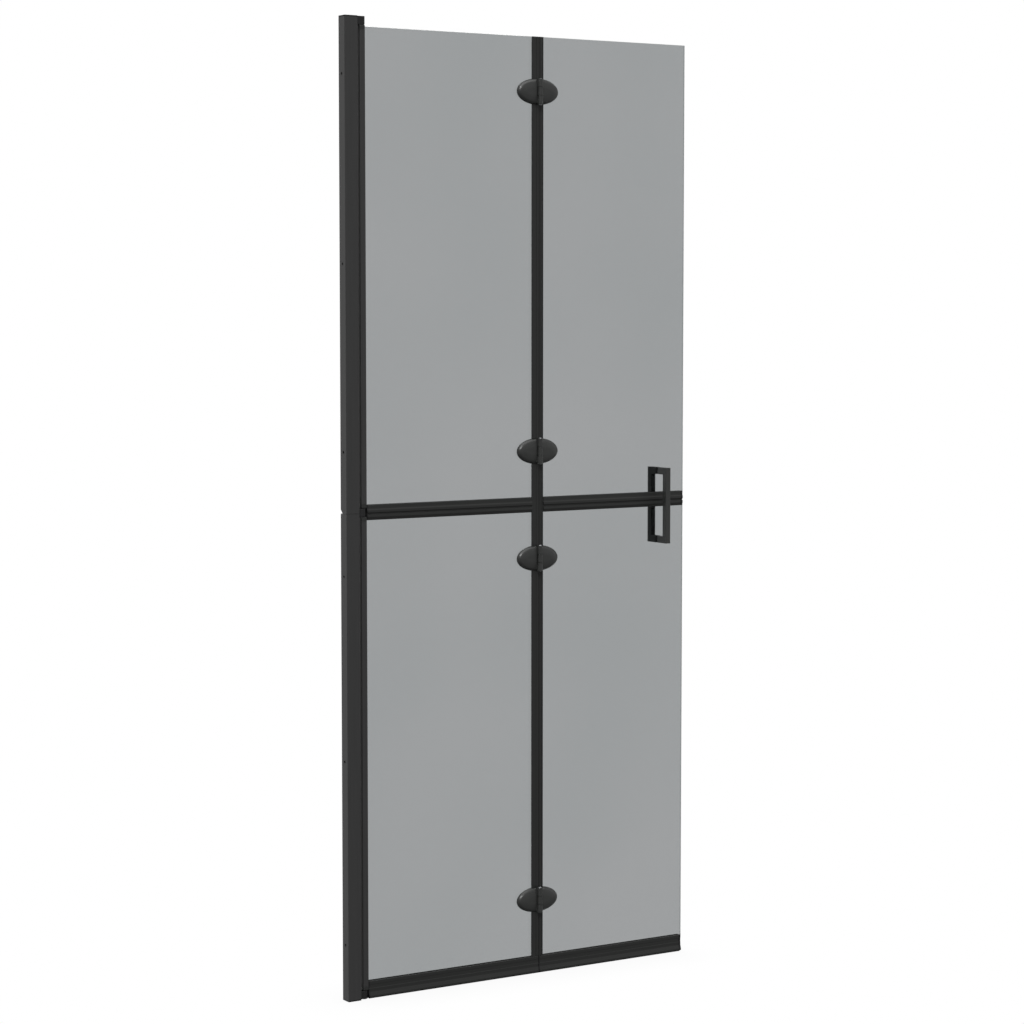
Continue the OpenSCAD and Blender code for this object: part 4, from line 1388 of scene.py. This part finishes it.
@dataclass
class FoldStiles:
    """The upright channels on the meeting edges of the panes, with their fine shadow lines."""

    layout: Layout
    web: float = 1.6
    low: float = 34.7
    line: float = 0.6
    inner_line: float = 6.8
    outer_line: float = 5.8
    bead: float = 1.6
    edge: float = 0.3

    def inner(self) -> list[Point]:
        """Draws the inner stile, with a fine groove in its front.

        Returns:
            The section in x and y.
        """
        lay = self.layout
        h, s, x0, x1 = lay.stile_half, lay.slot_half, lay.stile_inner, lay.seam_inner
        line, back = x1 - self.inner_line, lay.stile_back
        corners = [
            (x0, -h), (line, -h), (line, -h + self.line), (line + 1.0, -h + self.line), (line + 1.0, -h),
            (x1, -h), (x1, h), (back, h), (back, s), (x1 - self.web, s), (x1 - self.web, -s), (x0, -s),
        ]
        return rounded(corners, self.edge, 2)

    def outer(self) -> list[Point]:
        """Draws the outer stile, with the small bead beside the seam.

        Returns:
            The section in x and y.
        """
        lay = self.layout
        h, s, x0, x1 = lay.stile_half, lay.slot_half, lay.seam_outer, lay.stile_outer
        line, deep = x0 + self.outer_line, self.line + 0.3
        bead = arc((line - self.bead - 0.1, 0.4 - h), self.bead, 195, 345, 10)
        corners = [
            (line, -h), (line, deep - h), (line + 1.4, deep - h), (line + 1.4, -h),
            (x1, -h), (x1, -s), (x0 + self.web, -s), (x0 + self.web, s), (x1, s), (x1, h), (x0, h),
        ]
        return bead + rounded(corners, self.edge, 2) + [(x0, -h + 0.3), (x0 + 0.3, -h)]

    def build(self) -> None:
        """Builds the stiles of both leaves."""
        for side, outline in ((Side.INNER, self.inner()), (Side.OUTER, self.outer())):
            piece = Piece(f"fold_stile_{side.word}_leaf", COAT, side.body, [f"fold_stile_{side.word}"])
            piece.shape(prism(outline, Axis.Z, self.low, self.layout.glass_top, bevel=0.2))


@dataclass
class OvalHinges:
    """The four oval hinges: domed leaves with knuckles in front, pins, and plates behind the glass."""

    layout: Layout
    half_w: float = 48.7
    half_h: float = 26.0
    dome: float = 8.6
    leaf_edge: float = 4.7
    edge_lean: float = 0.3
    lean_from: float = 6.0
    pin_y: float = -15.0
    knuckle_r: float = 5.5
    knuckle_half: float = 25.0
    knuckle_round: float = 0.35
    middle_half: float = 8.0
    web_near: float = 2.8
    web_setback: float = 3.0
    swing_gap: float = 0.4
    washer: float = 0.8
    pin_r: float = 2.5
    pin_foot_r: float = 3.5
    pin_foot: float = 0.8
    pin_head_r: float = 3.8
    pin_head: float = 2.6
    plate: float = 3.8
    plate_half_w: float = 41.5
    plate_half_h: float = 22.5
    plate_edge_inner: float = -2.6
    plate_edge_outer: float = 3.4
    relief_reach: float = 60.0
    relief_right: float = 13.3
    front_relief_left: float = 13.8
    back_relief_left: float = 7.8
    socket_radius: float = 1.75
    socket_depth: float = 1.6

    def half_oval(self, side: Side, size: Point, depth: float, edge: float, steps: int = 44) -> list[Point]:
        """Draws half of an oval, inset all round and cut off upright.

        Args:
            side: The leaf it belongs to.
            size: Half the oval's width and height.
            depth: The inset.
            edge: The distance of the upright cut from the fold pin.
            steps: The number of chords.

        Returns:
            The outline in x and z, relative to the hinge's centre.
        """
        a, b = size[0] - depth, size[1] - depth
        limit = math.acos(edge / a)
        turns = [-limit + 2 * limit * k / steps for k in range(steps + 1)]
        return [(side.value * a * math.cos(t), b * math.sin(t)) for t in turns]

    def leaf_plate(self, side: Side) -> Solid:
        """Draws a front plate: a low rim, a round shoulder and a domed middle.

        Args:
            side: The leaf it belongs to.

        Returns:
            The plate, whose upright edge leans back a little towards the top of the dome.
        """
        seat = -self.layout.seat_y
        stages = [
            (0.35, 0.0), (0.0, 0.35), (0.0, 0.7), (0.2, 1.05), (0.9, 2.25), (1.9, 3.55), (3.1, 4.7),
            (4.4, 5.65), (5.4, 6.2), (6.6, 6.62), (8.0, 7.0), (10.0, 7.45), (13.0, 7.98), (16.5, 8.4),
            (20.0, self.dome),
        ]
        rings = []
        for depth, height in stages:
            edge = self.leaf_edge + (stages[0][0] if height == 0.0 else 0.0)
            edge += self.edge_lean * max(0.0, height - self.lean_from)
            line = self.half_oval(side, (self.half_w, self.half_h), depth, edge)
            rings.append([Axis.Y.place(x, z, seat - height) for x, z in line])
        return bridged(rings)

    def knuckle(self, low: float, high: float) -> Solid:
        """Draws a bored knuckle with softly rounded ends.

        Args:
            low: Its lower end.
            high: Its upper end.

        Returns:
            The knuckle, on the pin's axis.
        """
        r, b, e = self.knuckle_r, self.pin_r + 0.05, self.knuckle_round
        profile = [
            (b, low), (r - e, low), (r - 0.3 * e, low + 0.3 * e), (r, low + e), (r, high - e),
            (r - 0.3 * e, high - 0.3 * e), (r - e, high), (b, high),
        ]
        return lathed(profile, 44, hollow=True).moved(y=self.pin_y)

    def link(self, side: Side, low: float, high: float) -> Solid:
        """Draws the web between a knuckle and its plate, with the casting's fillet in the corner.

        Args:
            side: The leaf it belongs to.
            low: Its lower end.
            high: Its upper end.

        Returns:
            The web.
        """
        near, edge = self.web_near, self.leaf_edge
        outline = [
            (near, -7.6), (edge + 2.6, -7.6), (edge + 2.6, -11.0), (edge + 0.3, -11.1), (edge - 0.3, -12.3),
            (near, -12.3),
        ]
        return prism([(side.value * x, y) for x, y in outline], Axis.Z, low, high, bevel=0.3)

    def relief(self, left: float, front: float, back: float) -> Solid:
        """The cutter that leaves room for the fold stiles under a hinge."""
        outline = rectangle(-left, front, self.relief_right, back)
        return prism(outline, Axis.Z, -self.relief_reach, self.relief_reach)

    def front(self, side: Side, axis: Sequence[Vector]) -> None:
        """Builds the front leaves of one side with their knuckles.

        Args:
            side: The leaf they belong to.
            axis: The hinges' places.
        """
        leaf = self.leaf_plate(side)
        start, end, mid = self.middle_half + self.swing_gap + self.washer, self.knuckle_half, self.middle_half
        spans = {
            Side.INNER: (
                ((start, end), (start, end - self.web_setback)),
                ((-end, -start), (self.web_setback - end, -start)),
            ),
            Side.OUTER: (((-mid, mid), (-mid, mid)),),
        }
        for knuckle, web in spans[side]:
            leaf.add(self.knuckle(*knuckle), self.link(side, *web))
        nodes = [f"hinge_{n}_{side.word}_leaf" for n in (4, 3, 2, 1)]
        Piece(f"hinge_leaves_{side.word}", COAT_CAST, side.body, nodes).set_out(
            leaf, axis, self.relief(self.front_relief_left, -self.layout.stile_half - 1.4, 0.0)
        )

    def back(self, side: Side, axis: Sequence[Vector]) -> None:
        """Builds the plates behind the glass of one side and their screws.

        Args:
            side: The leaf they belong to.
            axis: The hinges' places.
        """
        seat, thick = self.layout.seat_y, self.plate
        edge = self.plate_edge_outer if side is Side.OUTER else self.plate_edge_inner
        stages = [
            (0.3, 0.0), (0.0, 0.3), (0.0, thick - 1.3), (0.25, thick - 0.7), (0.75, thick - 0.2), (1.4, thick),
        ]
        rings = []
        for depth, height in stages:
            line = self.half_oval(side, (self.plate_half_w, self.plate_half_h), depth, edge)
            rings.append([Axis.Y.place(x, z, seat + height) for x, z in line])
        x, top = side.value * self.layout.hinge_screw_x, seat + thick
        sinks = self.relief(self.back_relief_left, 0.0, self.layout.stile_half + 0.3)
        screws, sockets = Solid(), Solid()
        sink = along_y(lathed([(2.6, -6.0), (2.6, -2.2), (4.7, 0.0), (4.7, OVER)], 32))
        screw = along_y(lathed([(2.5, -11.0), (2.5, -2.2), (4.35, -0.25), (4.5, -0.1), (4.4, 0.0)], 32))
        for z in (-self.layout.hinge_screw_z, self.layout.hinge_screw_z):
            sinks.add(sink.moved(x, top, z))
            screws.add(screw.moved(x, top, z))
            hexagon = polygon((x, z), self.socket_radius, 6)
            sockets.add(prism(hexagon, Axis.Y, top - self.socket_depth, top + OVER))
        plates = Piece(
            f"hinge_plates_{side.word}", COAT_CAST, side.body, [f"hinge_back_plates_{side.word}"]
        )
        plates.set_out(bridged(rings), axis, sinks)
        held = Piece(f"hinge_screws_{side.word}_leaf", STEEL, side.body, [f"hinge_screws_{side.word}"])
        held.set_out(screws, axis, sockets)

    def pins(self, axis: Sequence[Vector]) -> None:
        """Builds the fold pins: a domed head above the knuckles and a low riveted foot under them.

        Args:
            axis: The hinges' places. The pin of the last and highest is put in from below.
        """
        h, r, t = self.knuckle_half, self.pin_foot_r, self.pin_foot
        foot = [(0.0, -h - t), (r - 0.9, -h - t), (r - 0.3, -h - 0.8 * t), (r, -h - 0.45 * t), (r, -h)]
        r, t = self.pin_head_r, self.pin_head
        head = [
            (r - 0.5, h), (r - 0.1, h + 0.12 * t), (r, h + 0.25 * t), (r - 0.1, h + 0.42 * t),
            (r - 0.5, h + 0.63 * t), (r - 1.2, h + 0.82 * t), (r - 2.3, h + 0.95 * t), (0.0, h + t),
        ]
        profile = foot + [(self.pin_r, -h), (self.pin_r, h)] + head
        Piece("fold_pins", STEEL, Body.INNER, ["hinge_pins"]).set_out(
            lathed(profile, 36).moved(y=self.pin_y), axis, upside_down=[len(axis) - 1]
        )

    def build(self) -> None:
        """Builds leaves, pins and back plates, each once, and sets them at the four heights."""
        axis = [Vector((self.layout.fold_x, 0.0, z)) for z in self.layout.hinge_heights]
        for side in Side:
            self.front(side, axis)
            self.back(side, axis)
        self.pins(axis)


@dataclass
class Handle:
    """The handle: two square-bar halves, one on each side of the glass."""

    layout: Layout
    centre_z: float = 940.0
    half_h: float = 77.8
    half_w: float = 5.75
    reach: float = 34.0
    bar: float = 12.0
    arm: float = 14.0
    edge: float = 0.9

    def half(self, way: float) -> Solid:
        """Draws one half of the handle.

        Args:
            way: Its side of the glass, -1 for the front and 1 for the back.

        Returns:
            The bar with its two arms.
        """
        seat, inner = self.layout.seat_y, self.half_h - self.arm
        corners = [
            (seat, self.half_h), (self.reach, self.half_h), (self.reach, -self.half_h),
            (seat, -self.half_h), (seat, -inner), (self.reach - self.bar, -inner),
            (self.reach - self.bar, inner), (seat, inner),
        ]
        outline = rounded([(way * y, z + self.centre_z) for y, z in corners], self.edge, 3)
        x = self.layout.handle_x
        return prism(outline, Axis.X, x - self.half_w, x + self.half_w, bevel=self.edge * 0.8)

    def build(self) -> None:
        """Builds both halves."""
        for word, way in (("front", -1.0), ("back", 1.0)):
            Piece(f"grip_{word}", COAT_CAST, Body.OUTER, [f"handle_{word}"]).shape(self.half(way))


@dataclass
class Seals:
    """The rubber strips: swing seals in the channel's mouth, glazing gaskets, and wipers."""

    layout: Layout
    mouth_half: float = 10.8
    nose_half: float = 5.5
    hollow_r: float = 9.381
    seal_left: float = 21.1
    seal_gap: float = 0.1
    cup_lip: float = 0.3
    cup_low: float = 0.9
    cup_floor: float = 0.1
    mid_cup_top: float = 15.1
    foot_cup_top: float = 34.5
    post_cup: tuple[float, float, float] = (43.5, 47.6, 44.3)
    wiper_right: float = 794.0

    def hollow(self) -> list[Point]:
        """Draws the hollow of the swing seal, an arc about the pivot axis.

        Returns:
            The arc from its front tip to its back tip.
        """
        centre = (self.layout.pivot_x, 0.0)
        half = math.degrees(math.asin(self.nose_half / self.hollow_r))
        return arc(centre, self.hollow_r, 180 + half, 180 - half, 10)

    def swing_section(self) -> list[Point]:
        """Draws the swing seal.

        Returns:
            The section in x and y.
        """
        m, n, x = self.mouth_half, self.nose_half, self.layout.profile_width
        corners = [(self.seal_left, m), (self.seal_left, -m), (x, -m), (x, -n), *self.hollow(), (x, n), (x, m)]
        return rounded(corners, 0.5, 2)

    def nose_section(self) -> list[Point]:
        """The seal's section beside a pivot block, where only its nose carries on."""
        x, n = self.layout.profile_width + self.seal_gap, self.nose_half
        return [(x, n), (x, -n), *self.hollow()]

    def swing(self) -> None:
        """Builds the swing seals."""
        mid, top, gap = self.layout.mid_z, self.layout.height, self.seal_gap
        block, ear = self.layout.block_grip, self.layout.ear_height
        end, nose, mid_nose = block + gap, ear + gap, ear / 2 + gap
        runs = {
            "lower": ((end, mid - end), ((nose, block), (mid - block, mid - mid_nose))),
            "upper": ((mid + end, top - end), ((mid + mid_nose, mid + block), (top - block, top - nose))),
        }
        for word, (main_ends, noses) in runs.items():
            parts = [(self.swing_section(), Axis.Z, *main_ends)]
            parts += [(self.nose_section(), Axis.Z, *ends) for ends in noses]
            Piece(f"swing_seal_{word}_run", SOFT_SEAL, Body.WALL, [f"swing_seal_{word}"]).pull(parts)

    def cup(self, low: float, high: float, floor: float) -> list[Point]:
        """Draws a U-shaped gasket.

        Args:
            low: The underside of its floor.
            high: Its open edge.
            floor: The top of its floor.

        Returns:
            The section in y and z.
        """
        outer, inner, lip = self.layout.glaze_half - 0.1, self.layout.glass_half + 0.01, self.cup_lip
        return [
            (-outer, low), (outer, low), (outer, high - lip), (outer - lip, high), (inner, high),
            (inner, floor), (-inner, floor), (-inner, high), (lip - outer, high), (-outer, high - lip),
        ]

    def glazing(self) -> None:
        """Builds the gaskets around the panes' edges."""
        lay = self.layout
        gap, mid, foot = lay.pane_gap, lay.mid_z, lay.pane_bottom
        spans = {
            Side.INNER: (lay.rail_left + lay.post_cap, lay.stile_inner - lay.rail_gap),
            Side.OUTER: (lay.stile_outer + lay.rail_gap, lay.cap_right - lay.free_cap),
        }
        cup = self.cup(gap - self.cup_low, self.mid_cup_top, gap - self.cup_floor)
        above = [(y, mid + z) for y, z in cup]
        below = [(y, 2 * mid - z) for y, z in above]
        under = self.cup(foot - self.cup_low, self.foot_cup_top, foot - self.cup_floor)
        for side, ends in spans.items():
            word = side.word
            Piece(f"middle_gaskets_{word}_leaf", RUBBER, side.body, [f"mid_rail_gaskets_{word}"]).pull(
                [(above, Axis.X, *ends), (below, Axis.X, *ends)]
            )
            reach = (ends[0], lay.stile_inner) if side is Side.INNER else (lay.stile_outer, ends[1])
            Piece(f"bottom_gasket_{word}_leaf", RUBBER, side.body, [f"bottom_rail_gasket_{word}"]).pull(
                [(under, Axis.X, *reach)]
            )
        upright = [(x, y) for y, x in self.cup(*self.post_cup)]
        z = lay.post_ends
        for word, low, high in (("lower", foot, z[1]), ("upper", z[2], z[3])):
            Piece(f"post_gasket_{word}_run", RUBBER, Body.INNER, [f"post_gasket_{word}"]).pull(
                [(upright, Axis.Z, low, high)]
            )

    def wipers(self) -> None:
        """Builds the wipers with three fins that rest on the tray."""
        lay = self.layout
        fins = [(-7.5, 0.9), (-7.5, 0.3), (-7.2, 0.0), (-5.9, 0.0), (-5.6, 0.7), (-1.0, 0.7), (-0.7, 0.0)]
        spine = [(7.5, 1.3), (7.3, 1.5), (2.0, 1.5), (2.0, 5.9)]
        outline = fins + mirrored(fins) + spine + mirrored(spine)
        spans = {Side.INNER: (lay.rail_left, lay.seam_inner), Side.OUTER: (lay.seam_outer, self.wiper_right)}
        for side, span in spans.items():
            piece = Piece(f"wiper_{side.word}_leaf", RUBBER, side.body, [f"wiper_{side.word}"])
            piece.pull([(outline, Axis.X, *span)])

    def build(self) -> None:
        """Builds every rubber strip."""
        self.swing()
        self.glazing()
        self.wipers()


@dataclass
class CarriedParts:
    """The CAD nodes that stay as they are, with a finish for each."""

    finishes: dict[str, Finish] = field(
        default_factory=lambda: {
            "profile_joiner": STEEL,
            "top_pivot_pin": STEEL,
            "middle_pivot_pin": STEEL,
            "bottom_pivot_pin": STEEL,
            "hinge_washers": ACETAL,
            "hinge_pads_inner": RUBBER,
            "hinge_pads_outer": RUBBER,
            "hinge_bushes_inner": PLASTIC,
            "hinge_bushes_outer": PLASTIC,
            "handle_studs": STEEL,
            "handle_pads": RUBBER,
            "handle_bushes": PLASTIC,
        }
    )

    def dress(self) -> None:
        """Gives each node its finish through its object's material slots."""
        for name, finish in self.finishes.items():
            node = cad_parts[name]
            if not node.material_slots:
                node.data.materials.append(None)
            for place in node.material_slots:
                place.material = finish.material()
            log.info("%s: CAD node in %s", name, finish.name)


# The studio


@dataclass(frozen=True)
class Softbox:
    """A soft lamp: where it stands, what it points at, its size in metres and its power in watts."""

    name: str
    place: tuple[float, float, float]
    target: tuple[float, float, float]
    size: tuple[float, float]
    power: float


@dataclass(frozen=True)
class KeyLight:
    """The main light, far off like a window: where it comes from, its strength and its spread."""

    name: str
    comes_from: tuple[float, float, float]
    strength: float
    spread_deg: float


@dataclass
class Studio:
    """The camera at the photograph's angle, the pale floor, the white surround and the soft lamps."""

    camera_place: tuple[float, float, float] = (-2.5735, -4.6708, 1.3611)
    yaw: float = 0.5643
    pitch: float = 0.0761
    lens_mm: float = 97.682
    sensor_mm: float = 36.0
    clip: tuple[float, float] = (0.05, 60.0)
    floor_half: float = 14.0
    floor_z: float = -0.0002
    white: float = 1.0
    glow_above: float = 0.6
    glow_below: float = 0.08
    key: KeyLight = KeyLight("key_light", (-0.39, -0.65, 0.65), 1.5, 14.0)
    lamps: tuple[Softbox, ...] = (
        Softbox("back_left_softbox", (-0.7, 1.0, 0.95), (0.0, 0.0, 0.95), (0.8, 3.0), 3.6),
        Softbox("back_softbox", (1.6, 3.8, 3.0), (0.4, 0.0, 0.9), (2.4, 1.8), 50.0),
        Softbox("top_softbox", (0.4, -0.6, 5.0), (0.4, 0.0, 0.0), (3.2, 3.2), 60.0),
        Softbox("right_softbox", (3.0, -1.3, 1.1), (0.44, 0.0, 0.95), (0.8, 2.6), 3.5),
    )

    def camera(self) -> None:
        """Sets up the camera."""
        lens = bpy.data.cameras.new("photo_camera")
        lens.lens, lens.sensor_width = self.lens_mm, self.sensor_mm
        lens.clip_start, lens.clip_end = self.clip
        eye = bpy.data.objects.new("photo_camera", lens)
        eye.location = self.camera_place
        eye.rotation_euler = (math.pi / 2 - self.pitch, 0.0, -self.yaw)
        bpy.context.scene.collection.objects.link(eye)
        bpy.context.scene.camera = eye

    def floor(self) -> None:
        """Lays the plain pale floor under the screen."""
        h = self.floor_half
        mesh = bpy.data.meshes.new("floor")
        mesh.from_pydata([Vector((x, y, self.floor_z)) for x, y in rectangle(-h, -h, h, h)], [], [(0, 1, 2, 3)])
        ground = linked("floor", mesh)
        mesh.materials.append(FLOOR.material())
        ground.visible_diffuse = False
        ground.visible_glossy = False
        ground.visible_shadow = False

    def surround(self) -> None:
        """Makes a surround that is seen white, and that lights the screen more from above than below."""
        world = bpy.data.worlds.new("white_studio")
        world.use_nodes = True
        tree = world.node_tree
        tree.nodes.clear()
        path = add_node(tree, "ShaderNodeLightPath")
        seen = add_node(
            tree, "ShaderNodeMath", {"operation": "MAXIMUM"},
            {0: path.outputs["Is Camera Ray"], 1: path.outputs["Is Transmission Ray"]},
        )
        place = add_node(tree, "ShaderNodeTexCoord")
        height = add_node(tree, "ShaderNodeSeparateXYZ", links={"Vector": place.outputs["Generated"]})
        glow = add_node(
            tree, "ShaderNodeMapRange",
            {"From Min": -1.0, "To Min": self.glow_below, "To Max": self.glow_above},
            {"Value": height.outputs["Z"]},
        )
        level = add_node(
            tree, "ShaderNodeMix", {"data_type": "FLOAT", 3: self.white},
            {0: seen.outputs[0], 2: glow.outputs["Result"]},
        )
        sky = add_node(
            tree, "ShaderNodeBackground", {"Color": to_linear("#ffffff")}, {"Strength": level.outputs[0]}
        )
        add_node(tree, "ShaderNodeOutputWorld", links={"Surface": sky.outputs["Background"]})
        bpy.context.scene.world = world

    def light(self) -> None:
        """Sets up the key light and hangs the softboxes."""
        lamp = bpy.data.lights.new(self.key.name, "SUN")
        lamp.energy = self.key.strength
        lamp.angle = math.radians(self.key.spread_deg)
        holder = bpy.data.objects.new(self.key.name, lamp)
        holder.rotation_euler = Vector(self.key.comes_from).to_track_quat("Z", "Y").to_euler()
        bpy.context.scene.collection.objects.link(holder)
        for box in self.lamps:
            lamp = bpy.data.lights.new(box.name, "AREA")
            lamp.shape = "RECTANGLE"
            lamp.size, lamp.size_y = box.size
            lamp.energy = box.power
            holder = bpy.data.objects.new(box.name, lamp)
            holder.location = box.place
            way = Vector(box.target) - Vector(box.place)
            holder.rotation_euler = way.to_track_quat("-Z", "Y").to_euler()
            holder.visible_camera = False
            holder.visible_transmission = False
            bpy.context.scene.collection.objects.link(holder)

    def build(self) -> None:
        """Builds the whole studio."""
        self.camera()
        self.floor()
        self.surround()
        self.light()
        bpy.context.scene.view_settings.view_transform = "Standard"
        bpy.context.scene.view_settings.look = "None"


def main() -> None:
    """Builds the screen's looks in order from one shared layout, then the studio."""
    layout = Layout()
    for assembly in (
        WallProfile(layout),
        PivotBlocks(layout),
        HingePost(layout),
        Panes(layout),
        Rails(layout),
        FoldStiles(layout),
        OvalHinges(layout),
        Handle(layout),
        Seals(layout),
    ):
        log.info("%s", type(assembly).__name__)
        assembly.build()
    CarriedParts().dress()
    Studio().build()


if __name__ == "__main__":
    main()
